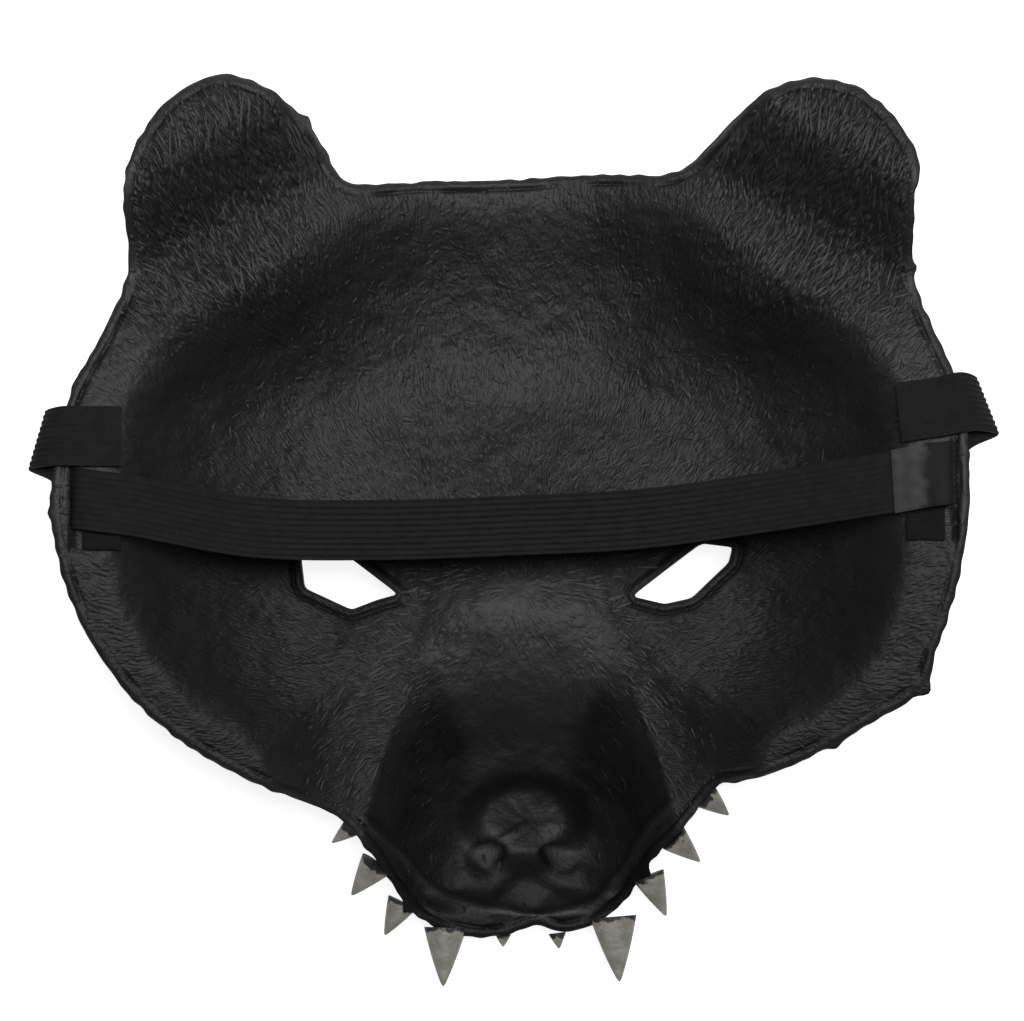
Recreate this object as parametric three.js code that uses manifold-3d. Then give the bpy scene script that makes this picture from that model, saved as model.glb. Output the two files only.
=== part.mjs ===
// Bear half-mask lying face-down: a moulded shell with ears and an open muzzle, teeth along the upper lip
// and an elastic head strap. Millimetres, +Z up; the face looks down and the forehead is towards +Y.
import * as THREE from "three";
import { mergeVertices } from "three/addons/utils/BufferGeometryUtils.js";
import Module from "manifold-3d";

const wasm = await Module();
wasm.setup();

// Rim: highest beside the strap, lower towards the ears and the mouth, and lowest over the forehead.
const WALL = 3;
const GAP = 0.3;
const RIM_CREST = 46;
const RIM_CREST_Y = -3;
const RIM_BEND_UP = 0.003;
const RIM_BEND_DOWN = 0.0015;
const RIM_RISE = 8;
const RIM_HALF_WIDTH = 110;
const TOP_DROP = 15;
const TOP_DROP_Y = 25;
const TOP_DROP_RUN = 55;
const TOP_SPREAD = 36;

// Ears: they lean on from the rim and curl up towards their crowns.
const EAR_FOOT_Y = 42;
const EAR_TILT = 0.27;
const EAR_CURL = 18;
const EAR_RUN = 34;
const EAR_TURN_X = 0.5;
const EAR_TURN_Y = 0.85;
const EAR_INNER_X = 38;
const EAR_INNER_RUN = 22;
const EAR_LOW_Y = 50;
const EAR_LOW_RUN = 25;

// Hollow for the wearer's face
const HOLLOW_X = 0;
const HOLLOW_Y = 10;
const HOLLOW_LIP = 0.06;
const CREST_ROUND = 0.05;
const EAR_CREST_ROUND = 0.1;
const MIDLINE = 1.4;
const SECTION_STEP = 20;
const COLUMN_STEP = 30;

// Muzzle
const BRIDGE_Y = -4;
const BRIDGE_RUN = 18;
const MUZZLE_ROUND = 2;
const NOSE_X = 2.7;
const NOSE_Y = -75.5;
const NOSE_HALF_WIDTH = 17;
const NOSE_HALF_HEIGHT = 13.5;
const NOSE_DEPTH = 5;
const NOSE_SQUARENESS = 2.2;
const NOSE_WALL = 0.6;
const PAD_Y = -75.5;
const PAD_RISE = 1.5;
const PAD_SPREAD = 6;
const NOSTRIL_X = 10;
const NOSTRIL_Y = -84;
const NOSTRIL_RISE = 3.5;
const NOSTRIL_SPREAD = 3;
const PHILTRUM_Y = -92.6;
const PHILTRUM_RISE = 2.4;
const PHILTRUM_SPREAD_X = 6;
const PHILTRUM_SPREAD_Y = 2.6;
const LIP_Y = -91;
const LIP_RUN = 9;
const LIP_RISE = 6;

// Teeth and strap
const TOOTH_ROOT = 5;
const STRAP_WIDTH = 15;
const STRAP_THICKNESS = 1.2;
const TAPE_WIDTH = 15.6;
const TAPE_THICKNESS = 0.5;
const STRAP_STEPS = 96;
const TAPE_STEPS = 8;
const PATCH_THICKNESS = 1;
const SLIT_WIDTH = 3.3;

// Outer edge from the middle of the forehead to the middle of the lip: one row for each place on it.
const OUTLINE = [
  { place: "top", leftX: -24.5, leftY: 91, rightX: 22, rightY: 93 },
  { place: "notch", leftX: -41.5, leftY: 90, rightX: 39, rightY: 92.5 },
  { place: "ear_foot", leftX: -45.5, leftY: 92.5, rightX: 45, rightY: 95 },
  { place: "ear_inner", leftX: -50, leftY: 101, rightX: 55.5, rightY: 105 },
  { place: "crown_inner", leftX: -60.5, leftY: 111, rightX: 64, rightY: 111.5 },
  { place: "crown", leftX: -73, leftY: 115, rightX: 75, rightY: 114 },
  { place: "crown_outer", leftX: -85, leftY: 109, rightX: 87.5, rightY: 110 },
  { place: "ear_outer", leftX: -94, leftY: 95.5, rightX: 99, rightY: 94 },
  { place: "ear_side", leftX: -96.5, leftY: 83.5, rightX: 98.5, rightY: 80 },
  { place: "ear_root", leftX: -96.5, leftY: 66, rightX: 99.5, rightY: 64.5 },
  { place: "temple", leftX: -102, leftY: 51, rightX: 104, rightY: 51 },
  { place: "strap_top", leftX: -109.5, leftY: 35, rightX: 110, rightY: 35 },
  { place: "strap", leftX: -113, leftY: 18.5, rightX: 111.5, rightY: 18.5 },
  { place: "cheek_top", leftX: -113.5, leftY: 6, rightX: 111, rightY: 3.5 },
  { place: "cheek", leftX: -111, leftY: -9.5, rightX: 108.5, rightY: -12 },
  { place: "cheek_low", leftX: -105.5, leftY: -23.5, rightX: 104, rightY: -27 },
  { place: "jaw_side", leftX: -97, leftY: -37, rightX: 100, rightY: -38 },
  { place: "jaw", leftX: -86.5, leftY: -48, rightX: 85.5, rightY: -48 },
  { place: "jaw_low", leftX: -71, leftY: -58.5, rightX: 70.5, rightY: -56.5 },
  { place: "jaw_inner", leftX: -53.5, leftY: -67, rightX: 56, rightY: -62 },
  { place: "lip_corner", leftX: -44.5, leftY: -72, rightX: 51.5, rightY: -63.5 },
  { place: "lip_back", leftX: -37.5, leftY: -80, rightX: 43.5, rightY: -73.5 },
  { place: "lip_side", leftX: -31.5, leftY: -90, rightX: 36, rightY: -83 },
  { place: "lip_turn", leftX: -24.5, leftY: -99, rightX: 29, rightY: -94 },
  { place: "lip_front", leftX: -13, leftY: -104, rightX: 21.5, rightY: -100.5 },
  { place: "lip_inner", leftX: -2.5, leftY: -104, rightX: 13, rightY: -103 },
];
const FOREHEAD_TOP = { x: -0.5, y: 92 };
const PHILTRUM = { x: 5, y: -101.5 };

// Edge of the hollow, where the rim turns down into the face. It leaves the mask beyond the lip.
const HOLLOW = [
  { place: "top", leftX: -22, leftY: 85.5, rightX: 22, rightY: 87 },
  { place: "under_ear", leftX: -40.5, leftY: 77, rightX: 42.5, rightY: 79.5 },
  { place: "ear_ridge", leftX: -59, leftY: 63, rightX: 60, rightY: 63 },
  { place: "temple_top", leftX: -79.5, leftY: 50, rightX: 81, rightY: 49 },
  { place: "temple", leftX: -92.5, leftY: 33.5, rightX: 92, rightY: 33.5 },
  { place: "side", leftX: -95.5, leftY: 13.5, rightX: 93.5, rightY: 13.5 },
  { place: "cheek", leftX: -96, leftY: -6, rightX: 92.5, rightY: -8.5 },
  { place: "cheek_low", leftX: -90, leftY: -24.5, rightX: 86.5, rightY: -28.5 },
  { place: "jaw", leftX: -76.5, leftY: -42, rightX: 74, rightY: -42 },
  { place: "jaw_low", leftX: -62, leftY: -54, rightX: 60, rightY: -52 },
  { place: "mouth", leftX: -57, leftY: -84, rightX: 60, rightY: -82 },
  { place: "chin", leftX: -46, leftY: -124, rightX: 46, rightY: -124 },
];
const HOLLOW_TOP = { x: -0.5, y: 86 };
const HOLLOW_CHIN = { x: 0, y: -136 };

// Depth to which the hollow sinks across the mask, as a height, from the forehead to the chin.
const FACE = [
  { y: 100, mid: 6, brow: 6, side: 8, edge: 14 },
  { y: 80, mid: 0, brow: 0, side: 2, edge: 9 },
  { y: 60, mid: -4.5, brow: -4.5, side: -2, edge: 5 },
  { y: 40, mid: -2, brow: -2, side: -0.5, edge: 4 },
  { y: 20, mid: 8, brow: 8, side: 7, edge: 9 },
  { y: 0, mid: 17.5, brow: 14.5, side: 10, edge: 12 },
  { y: -20, mid: 25, brow: 18.5, side: 10, edge: 12 },
  { y: -40, mid: 25, brow: 20.5, side: 12, edge: 13 },
  { y: -60, mid: 23, brow: 19.5, side: 17, edge: 20 },
  { y: -80, mid: 23, brow: 22, side: 23, edge: 27 },
  { y: -100, mid: 29, brow: 29, side: 29, edge: 30 },
  { y: -120, mid: 30, brow: 30, side: 30, edge: 30 },
];

// Channel of the muzzle: its floor's height, and half its width at the floor and at the top of its walls.
const MUZZLE = [
  { y: 0, floor: 19, halfFloor: 6, halfTop: 18 },
  { y: -20, floor: 26, halfFloor: 8, halfTop: 25 },
  { y: -40, floor: 22, halfFloor: 7, halfTop: 29 },
  { y: -60, floor: 10.5, halfFloor: 6, halfTop: 36 },
  { y: -80, floor: 5.5, halfFloor: 9, halfTop: 40 },
  { y: -100, floor: 8, halfFloor: 14, halfTop: 38 },
  { y: -120, floor: 9, halfFloor: 18, halfTop: 36 },
];

// Middle of each ear's curl.
const EARS = [
  { side: "left", x: -74, y: 89 },
  { side: "right", x: 79, y: 86 },
];

// Corners of each eye hole, round from the inner one.
const EYE_HOLES = [
  { place: "inner", leftX: -30, leftY: -15.5, rightX: 30, rightY: -16 },
  { place: "low", leftX: -35.5, leftY: -17, rightX: 38.5, rightY: -18 },
  { place: "low_outer", leftX: -42, leftY: -19.5, rightX: 45.5, rightY: -16.5 },
  { place: "outer", leftX: -54, leftY: -14, rightX: 55, rightY: -7.5 },
  { place: "high_outer", leftX: -55, leftY: -6, rightX: 56, rightY: -3.5 },
  { place: "high", leftX: -44, leftY: -5, rightX: 48, rightY: -2.5 },
];

// Slits in the rim for the strap's ends.
const SLITS = [
  { side: "left", x: -108.6, lowY: 1, highY: 17 },
  { side: "right", x: 107.9, lowY: 7.5, highY: 23.5 },
];

// Teeth from the mouth's left corner to its right one: gum and tip places, and the tip's rise over the gum.
const TEETH = [
  { name: "tooth_left_back", gumX: -41.5, gumY: -74.5, tipX: -46.5, tipY: -78.5, rise: 0, width: 7.5, thick: 4 },
  { name: "tooth_left_mid", gumX: -35.5, gumY: -84.5, tipX: -42, tipY: -93, rise: -3, width: 11, thick: 5 },
  { name: "tooth_left_side", gumX: -29, gumY: -95, tipX: -33.5, tipY: -103.5, rise: 0, width: 10.5, thick: 5 },
  { name: "canine_left", gumX: -18, gumY: -102, tipX: -18.5, tipY: -117, rise: 2, width: 13, thick: 6 },
  { name: "incisor_left", gumX: -3, gumY: -104, tipX: -3, tipY: -107, rise: 0.5, width: 8, thick: 4 },
  { name: "incisor_right", gumX: 11, gumY: -103.5, tipX: 11.5, tipY: -107.5, rise: 0.5, width: 8, thick: 4 },
  { name: "canine_right", gumX: 25.5, gumY: -99, tipX: 27, tipY: -115.5, rise: 2, width: 14, thick: 6 },
  { name: "tooth_right_side", gumX: 34.5, gumY: -88, tipX: 39, tipY: -98.5, rise: 0, width: 10.5, thick: 5 },
  { name: "tooth_right_mid", gumX: 40.5, gumY: -77.5, tipX: 47.5, tipY: -84, rise: -3, width: 10, thick: 5 },
  { name: "tooth_right_back", gumX: 48.5, gumY: -66.5, tipX: 54.5, tipY: -71.5, rise: -2, width: 9.5, thick: 4 },
];

// Strap from its left end to its right end; lean and slant are its rise and its shift in x across its width.
const STRAP = [
  { place: "end_left", x: -96.7, y: 24.2, z: 51, lean: -0.16, slant: 0 },
  { place: "tab_left", x: -105, y: 24.2, z: 52.1, lean: -0.16, slant: 0.05 },
  { place: "rim_left", x: -113, y: 24.2, z: 53.3, lean: -0.16, slant: 0.2 },
  { place: "fold_left", x: -117, y: 23, z: 50.8, lean: -0.16, slant: 0.26 },
  { place: "under_left", x: -112.6, y: 20, z: 48.2, lean: -0.15, slant: 0.1 },
  { place: "below_slit_left", x: -109.2, y: 9.5, z: 49.4, lean: -0.08, slant: 0 },
  { place: "slit_left", x: -108, y: 9, z: 53, lean: -0.07, slant: 0 },
  { place: "crest_left", x: -106, y: 8.9, z: 55.6, lean: -0.07, slant: 0 },
  { place: "flange_left", x: -102.8, y: 8.4, z: 55.2, lean: -0.07, slant: 0 },
  { place: "ledge_left", x: -94, y: 7.2, z: 53.5, lean: -0.06, slant: 0 },
  { place: "side_left", x: -65.6, y: 1.9, z: 45, lean: 0, slant: 0 },
  { place: "brow_left", x: -33.6, y: 1.1, z: 40, lean: 0.1, slant: 0 },
  { place: "middle", x: -0.7, y: 2.2, z: 38, lean: 0.12, slant: 0 },
  { place: "brow_right", x: 31.3, y: 3.9, z: 40, lean: 0.1, slant: 0 },
  { place: "side_right", x: 65.7, y: 8.6, z: 45, lean: 0, slant: 0 },
  { place: "ledge_right", x: 92.8, y: 13, z: 52.7, lean: -0.1, slant: -0.05 },
  { place: "flange_right", x: 100.5, y: 14.4, z: 54.4, lean: -0.1, slant: -0.05 },
  { place: "crest_right", x: 106.4, y: 15.2, z: 54.8, lean: -0.11, slant: 0 },
  { place: "slit_right", x: 108, y: 15.5, z: 52, lean: -0.11, slant: 0 },
  { place: "below_slit_right", x: 108.8, y: 15.8, z: 48.3, lean: -0.12, slant: 0 },
  { place: "under_right", x: 110.8, y: 28, z: 46.4, lean: -0.2, slant: -0.15 },
  { place: "fold_right", x: 116.3, y: 31.5, z: 47.8, lean: -0.2, slant: -0.36 },
  { place: "rim_right", x: 111.6, y: 32.8, z: 51.4, lean: -0.2, slant: -0.25 },
  { place: "tab_right", x: 104, y: 31.4, z: 50.6, lean: -0.2, slant: -0.1 },
  { place: "end_right", x: 94.5, y: 30, z: 49.5, lean: -0.2, slant: -0.09 },
];

// Grid of the skin, finer over the muzzle, and the heights between which holes are cut through it.
const SLAB_X = { from: -120, fineFrom: -46, fineTo: 49, to: 120, coarse: 5.6, fine: 3.65 };
const SLAB_Y = { from: -112, fineFrom: -108, fineTo: -6, to: 122, coarse: 5.5, fine: 3.65 };
const CUT_LOW = -10;
const CUT_HIGH = 90;

// Patches on the rim under the strap's ends.
const PATCHES = [
  { name: "slot_patch_left", lowX: -105.8, highX: -96.6, lowY: -3.6, highY: 8 },
  { name: "slot_patch_right", lowX: 96, highX: 105.2, lowY: -1.2, highY: 13 },
];

const FOAM_BLACK = new THREE.MeshStandardMaterial({ color: 0x1b1b1c, roughness: 0.62, metalness: 0 });
const ELASTIC_BLACK = new THREE.MeshStandardMaterial({ color: 0x121213, roughness: 0.9, metalness: 0 });
const TAPE_GREY = new THREE.MeshStandardMaterial({ color: 0x3c3d40, roughness: 0.3, metalness: 0 });
const TOOTH_IVORY = new THREE.MeshStandardMaterial({ color: 0x9a9690, roughness: 0.6, metalness: 0 });

function smooth(t) {
  const u = Math.min(Math.max(t, 0), 1);
  return u * u * u * (u * (6 * u - 15) + 10);
}

function bell(distance, spread) {
  return Math.exp(-(distance * distance) / (2 * spread * spread));
}

function spline(values, position) {
  const last = values.length - 1;
  const t = Math.min(Math.max(position, 0), last);
  const i = Math.min(Math.floor(t), last - 1);
  const u = t - i;
  const a = values[Math.max(i - 1, 0)];
  const b = values[i];
  const c = values[i + 1];
  const d = values[Math.min(i + 2, last)];
  const bend = 2 * a - 5 * b + 4 * c - d;
  const twist = -a + 3 * b - 3 * c + d;
  return b + 0.5 * u * (c - a + u * (bend + u * twist));
}

function closedLoop(rows, first, last, divisions) {
  const right = rows.map((row) => new THREE.Vector3(row.rightX, row.rightY, 0));
  const left = rows.map((row) => new THREE.Vector3(row.leftX, row.leftY, 0)).reverse();
  const start = new THREE.Vector3(first.x, first.y, 0);
  const end = new THREE.Vector3(last.x, last.y, 0);
  const curve = new THREE.CatmullRomCurve3([start, ...right, end, ...left], true, "centripetal");
  return curve.getPoints(divisions).slice(0, divisions);
}

const outline = closedLoop(OUTLINE, FOREHEAD_TOP, PHILTRUM, 240);
const hollowEdge = closedLoop(HOLLOW, HOLLOW_TOP, HOLLOW_CHIN, 104);

// Part of the way from the hollow's middle to its edge, 1 at the edge.
function edgeShare(x, y) {
  const px = x - HOLLOW_X;
  const py = y - HOLLOW_Y;
  for (let i = 0; i < hollowEdge.length; i += 1) {
    const a = hollowEdge[i];
    const b = hollowEdge[(i + 1) % hollowEdge.length];
    const ax = a.x - HOLLOW_X;
    const ay = a.y - HOLLOW_Y;
    const crossing = px * (b.y - a.y) - py * (b.x - a.x);
    const reach = (ax * (b.y - a.y) - ay * (b.x - a.x)) / crossing;
    const along = (ax * py - ay * px) / crossing;
    if (reach > 0 && along >= 0 && along < 1) {
      return 1 / reach;
    }
  }
  return 0;
}

// The hollow is a bowl of elliptic section with a rounded crest, softer under the ears.
function sunkShare(x, y) {
  const inside = 1 - edgeShare(x, y);
  const round = CREST_ROUND + (EAR_CREST_ROUND - CREST_ROUND) * smooth((y - TOP_DROP_Y) / EAR_RUN);
  const crest = Math.max(inside + round, 0) ** 2 / (4 * round);
  const out = 1 - (inside < round ? crest : inside);
  const lip = Math.sqrt(HOLLOW_LIP);
  return (Math.sqrt(1 - out * out + HOLLOW_LIP) - lip) / (Math.sqrt(1 + HOLLOW_LIP) - lip);
}

function earLift(x, y) {
  const ear = x < 0 ? EARS[0] : EARS[1];
  const out = Math.abs(x) - Math.abs(ear.x);
  const along = out * EAR_TURN_X + (y - ear.y) * EAR_TURN_Y;
  const ends = smooth((Math.abs(x) - EAR_INNER_X) / EAR_INNER_RUN) * smooth((y - EAR_LOW_Y) / EAR_LOW_RUN);
  return EAR_CURL * smooth(along / EAR_RUN + 0.5) * ends;
}

function flange(x, y) {
  const back = Math.min(y, EAR_FOOT_Y) - RIM_CREST_Y;
  const bend = back > 0 ? RIM_BEND_UP : RIM_BEND_DOWN;
  const plane = RIM_CREST - bend * back * back + RIM_RISE * (x / RIM_HALF_WIDTH) ** 2;
  const ear = earLift(x, y) - EAR_TILT * Math.max(y - EAR_FOOT_Y, 0);
  const top = TOP_DROP * bell(x, TOP_SPREAD) * smooth((y - TOP_DROP_Y) / TOP_DROP_RUN);
  return plane + ear - top;
}

function face(x, y) {
  const across = Math.abs(x - MIDLINE) / COLUMN_STEP + 1;
  const down = (FACE[0].y - y) / SECTION_STEP;
  const heights = FACE.map((row) => spline([row.brow, row.mid, row.brow, row.side, row.edge], across));
  return spline(heights, down);
}

// The muzzle's floor has a pocket for the nose, with the nose's pad and nostrils standing in it.
function muzzleFloor(x, y, floor) {
  const across = x - NOSE_X;
  const wide = (Math.abs(across) / NOSE_HALF_WIDTH) ** NOSE_SQUARENESS;
  const tall = (Math.abs(y - NOSE_Y) / NOSE_HALF_HEIGHT) ** NOSE_SQUARENESS;
  const pocket = NOSE_DEPTH * smooth((1.1 - (wide + tall) ** (1 / NOSE_SQUARENESS)) / NOSE_WALL);
  const pad = PAD_RISE * bell(Math.hypot(across, y - PAD_Y), PAD_SPREAD);
  const nostrilAway = Math.hypot(Math.abs(across) - NOSTRIL_X, y - NOSTRIL_Y);
  const nostrils = NOSTRIL_RISE * bell(nostrilAway, NOSTRIL_SPREAD);
  const ridge = PHILTRUM_RISE * bell(across, PHILTRUM_SPREAD_X) * bell(y - PHILTRUM_Y, PHILTRUM_SPREAD_Y);
  const lip = LIP_RISE * smooth((LIP_Y - y) / LIP_RUN);
  return floor - pocket + pad + nostrils + ridge + lip;
}

function innerSkin(x, y) {
  const rim = flange(x, y);
  const cheek = rim + (face(x, y) - rim) * sunkShare(x, y);
  const down = (MUZZLE[0].y - y) / SECTION_STEP;
  const floor = spline(MUZZLE.map((row) => row.floor), down);
  const halfFloor = spline(MUZZLE.map((row) => row.halfFloor), down);
  const halfTop = spline(MUZZLE.map((row) => row.halfTop), down);
  const climb = (halfTop - Math.abs(x - MIDLINE)) / (halfTop - halfFloor);
  const walls = 1 - (1 - Math.min(Math.max(climb, 0), 1)) ** MUZZLE_ROUND;
  const muzzle = walls * smooth((BRIDGE_Y - y) / BRIDGE_RUN);
  return cheek + (muzzleFloor(x, y, floor) - cheek) * muzzle;
}

// The outer skin is one wall below the inner skin, as a ball of that radius rolled along it would leave it.
const BALL = [{ dx: 0, dy: 0, drop: WALL }];
for (const reach of [0.4, 0.7, 0.9, 0.99]) {
  for (let step = 0; step < 10; step += 1) {
    const turn = (step / 10) * Math.PI * 2;
    const radius = reach * WALL;
    const drop = Math.sqrt(WALL * WALL - radius * radius);
    BALL.push({ dx: radius * Math.cos(turn), dy: radius * Math.sin(turn), drop });
  }
}

function outerSkin(x, y) {
  const depths = BALL.map((spot) => innerSkin(x + spot.dx, y + spot.dy) - spot.drop);
  return Math.max(Math.min(...depths), 0);
}

function gridLines({ from, fineFrom, fineTo, to, coarse, fine }) {
  const lines = [];
  const add = (a, b, step) => {
    const count = Math.max(Math.round((b - a) / step), 1);
    for (let i = 0; i < count; i += 1) {
      lines.push(a + ((b - a) * i) / count);
    }
  };
  add(from, fineFrom, coarse);
  add(fineFrom, fineTo, fine);
  add(fineTo, to, coarse);
  lines.push(to);
  return lines;
}

function closedGeometry(positions, index) {
  const geometry = new THREE.BufferGeometry();
  geometry.setAttribute("position", new THREE.Float32BufferAttribute(positions, 3));
  geometry.setIndex(index);
  return geometry;
}

function solid(geometry) {
  const bare = geometry.clone();
  bare.deleteAttribute("normal");
  bare.deleteAttribute("uv");
  const merged = mergeVertices(bare, 1e-5);
  const vertProperties = new Float32Array(merged.attributes.position.array);
  const triVerts = new Uint32Array(merged.index.array);
  return new wasm.Manifold(new wasm.Mesh({ numProp: 3, vertProperties, triVerts }));
}

function named(name, body, material) {
  const { vertProperties, triVerts } = body.getMesh();
  const geometry = closedGeometry(Array.from(vertProperties), Array.from(triVerts));
  geometry.computeVertexNormals();
  const mesh = new THREE.Mesh(geometry, material);
  mesh.name = name;
  return mesh;
}

function prism(loop, low, high) {
  const shape = new THREE.Shape(loop.map((point) => new THREE.Vector2(point.x, point.y)));
  const geometry = new THREE.ExtrudeGeometry(shape, { depth: high - low, bevelEnabled: false, steps: 1 });
  geometry.translate(0, 0, low);
  return solid(geometry);
}

function skinSlab() {
  const xs = gridLines(SLAB_X);
  const ys = gridLines(SLAB_Y);
  const positions = [];
  const index = [];
  const columns = xs.length;
  const layer = columns * ys.length;
  for (const height of [innerSkin, outerSkin]) {
    for (const y of ys) {
      for (const x of xs) {
        positions.push(x, y, height(x, y));
      }
    }
  }
  const quad = (a, b, c, d) => index.push(a, b, c, a, c, d);
  const fall = (a, b) => Math.abs(positions[3 * a + 2] - positions[3 * b + 2]);
  const facet = (a, b, c, d) => (fall(a, c) < fall(b, d) ? quad(a, b, c, d) : quad(b, c, d, a));
  for (let row = 0; row + 1 < ys.length; row += 1) {
    for (let column = 0; column + 1 < columns; column += 1) {
      const a = row * columns + column;
      facet(a, a + 1, a + columns + 1, a + columns);
      facet(layer + a + columns, layer + a + columns + 1, layer + a + 1, layer + a);
    }
  }
  const edge = [];
  for (let column = 0; column + 1 < columns; column += 1) {
    edge.push(column);
  }
  for (let row = 0; row + 1 < ys.length; row += 1) {
    edge.push(row * columns + columns - 1);
  }
  for (let column = columns - 1; column > 0; column -= 1) {
    edge.push((ys.length - 1) * columns + column);
  }
  for (let row = ys.length - 1; row > 0; row -= 1) {
    edge.push(row * columns);
  }
  edge.forEach((a, i) => {
    const b = edge[(i + 1) % edge.length];
    quad(a, layer + a, layer + b, b);
  });
  return solid(closedGeometry(positions, index));
}

function eyeHole(side) {
  const corners = EYE_HOLES.map((row) => new THREE.Vector3(row[`${side}X`], row[`${side}Y`], 0));
  return prism(corners, CUT_LOW, CUT_HIGH);
}

function slit(row) {
  const length = row.highY - row.lowY;
  const geometry = new THREE.BoxGeometry(SLIT_WIDTH, length, CUT_HIGH - CUT_LOW);
  geometry.translate(row.x, row.lowY + length / 2, (CUT_HIGH + CUT_LOW) / 2);
  return solid(geometry);
}

function shell() {
  let body = skinSlab().intersect(prism(outline, CUT_LOW, CUT_HIGH));
  for (const side of ["left", "right"]) {
    body = body.subtract(eyeHole(side));
  }
  for (const row of SLITS) {
    body = body.subtract(slit(row));
  }
  return body;
}

function ribbon(width, thickness, lift, from, to, steps) {
  const stations = STRAP.map((row) => new THREE.Vector3(row.x, row.y, row.z));
  const path = new THREE.CatmullRomCurve3(stations, false, "centripetal");
  const leans = STRAP.map((row) => row.lean);
  const slants = STRAP.map((row) => row.slant);
  const station = (place) => STRAP.findIndex((row) => row.place === place);
  const positions = [];
  const index = [];
  for (let step = 0; step <= steps; step += 1) {
    const place = station(from) + ((station(to) - station(from)) * step) / steps;
    const t = place / (STRAP.length - 1);
    const middle = path.getPoint(t);
    const across = new THREE.Vector3(spline(slants, place), 1, spline(leans, place)).normalize();
    const up = path.getTangent(t).cross(across).normalize();
    middle.addScaledVector(up, lift);
    for (const [side, level] of [[-1, -1], [1, -1], [1, 1], [-1, 1]]) {
      const corner = middle.clone().addScaledVector(across, (side * width) / 2);
      corner.addScaledVector(up, (level * thickness) / 2);
      positions.push(corner.x, corner.y, corner.z);
    }
  }
  for (let step = 0; step < steps; step += 1) {
    for (let k = 0; k < 4; k += 1) {
      const a = step * 4 + k;
      const b = step * 4 + ((k + 1) % 4);
      index.push(a, b, b + 4, a, b + 4, a + 4);
    }
  }
  const end = steps * 4;
  index.push(0, 2, 1, 0, 3, 2);
  index.push(end, end + 1, end + 2, end, end + 2, end + 3);
  return solid(closedGeometry(positions, index));
}

function grownOutline() {
  return outline.map((point, i) => {
    const before = outline[(i + outline.length - 1) % outline.length];
    const after = outline[(i + 1) % outline.length];
    const along = after.clone().sub(before).normalize();
    return new THREE.Vector3(point.x - along.y * GAP * turnSign, point.y + along.x * GAP * turnSign, 0);
  });
}

function loopTurn(loop) {
  let area = 0;
  loop.forEach((a, i) => {
    const b = loop[(i + 1) % loop.length];
    area += a.x * b.y - b.x * a.y;
  });
  return area > 0 ? -1 : 1;
}

const turnSign = loopTurn(outline);
const lipClearance = prism(grownOutline(), CUT_LOW, CUT_HIGH);

function tooth(row) {
  const rings = 5;
  const sides = 8;
  const gumZ = (innerSkin(row.gumX, row.gumY) + outerSkin(row.gumX, row.gumY)) / 2;
  const tip = new THREE.Vector3(row.tipX, row.tipY, gumZ + row.rise);
  const root = new THREE.Vector3(row.gumX, row.gumY, gumZ);
  root.addScaledVector(tip.clone().sub(root).normalize(), -TOOTH_ROOT);
  const axis = tip.clone().sub(root);
  const across = new THREE.Vector3(-axis.y, axis.x, 0).normalize();
  const up = new THREE.Vector3().crossVectors(axis, across).normalize();
  const positions = [];
  const index = [];
  for (let ring = 0; ring < rings; ring += 1) {
    const t = (ring / rings) * 0.98;
    const taper = (1 - t ** 1.25) ** 0.9;
    const middle = root.clone().addScaledVector(axis, t);
    for (let k = 0; k < sides; k += 1) {
      const turn = (k / sides) * Math.PI * 2;
      const point = middle.clone().addScaledVector(across, Math.cos(turn) * taper * row.width / 2);
      point.addScaledVector(up, Math.sin(turn) * taper * row.thick / 2);
      positions.push(point.x, point.y, point.z);
    }
  }
  const rootPoint = positions.length / 3;
  positions.push(root.x, root.y, root.z, tip.x, tip.y, tip.z);
  for (let k = 0; k < sides; k += 1) {
    const next = (k + 1) % sides;
    for (let ring = 0; ring + 1 < rings; ring += 1) {
      const a = ring * sides;
      index.push(a + k, a + next, a + sides + next, a + k, a + sides + next, a + sides + k);
    }
    const top = (rings - 1) * sides;
    index.push(rootPoint, next, k, top + k, top + next, rootPoint + 1);
  }
  return solid(closedGeometry(positions, index)).subtract(lipClearance);
}

function patch({ lowX, highX, lowY, highY }) {
  const corners = [[lowX, lowY], [highX, lowY], [highX, highY], [lowX, highY]];
  const positions = [];
  for (const level of [GAP, GAP + PATCH_THICKNESS]) {
    for (const [x, y] of corners) {
      positions.push(x, y, flange(x, y) + level);
    }
  }
  const index = [0, 2, 1, 0, 3, 2, 4, 5, 6, 4, 6, 7];
  for (let k = 0; k < 4; k += 1) {
    const next = (k + 1) % 4;
    index.push(k, next, next + 4, k, next + 4, k + 4);
  }
  return solid(closedGeometry(positions, index));
}

const mask = new THREE.Group();
mask.name = "bear_mask";
mask.add(named("shell", shell(), FOAM_BLACK));
const strap = ribbon(STRAP_WIDTH, STRAP_THICKNESS, 0, "end_left", "end_right", STRAP_STEPS);
mask.add(named("head_strap", strap, ELASTIC_BLACK));
for (const row of PATCHES) {
  mask.add(named(row.name, patch(row), ELASTIC_BLACK));
}
const tapeLift = STRAP_THICKNESS / 2 + GAP + TAPE_THICKNESS / 2;
const tape = ribbon(TAPE_WIDTH, TAPE_THICKNESS, tapeLift, "ledge_right", "crest_right", TAPE_STEPS);
mask.add(named("strap_tape", tape, TAPE_GREY));
for (const row of TEETH) {
  mask.add(named(row.name, tooth(row), TOOTH_IVORY));
}

export default mask;
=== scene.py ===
"""Bear half-mask lying face-down with its hollow back up. Shapes are worked out in millimetres."""
import math

import bpy
import numpy as np
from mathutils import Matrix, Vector
from mathutils.geometry import delaunay_2d_cdt


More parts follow.
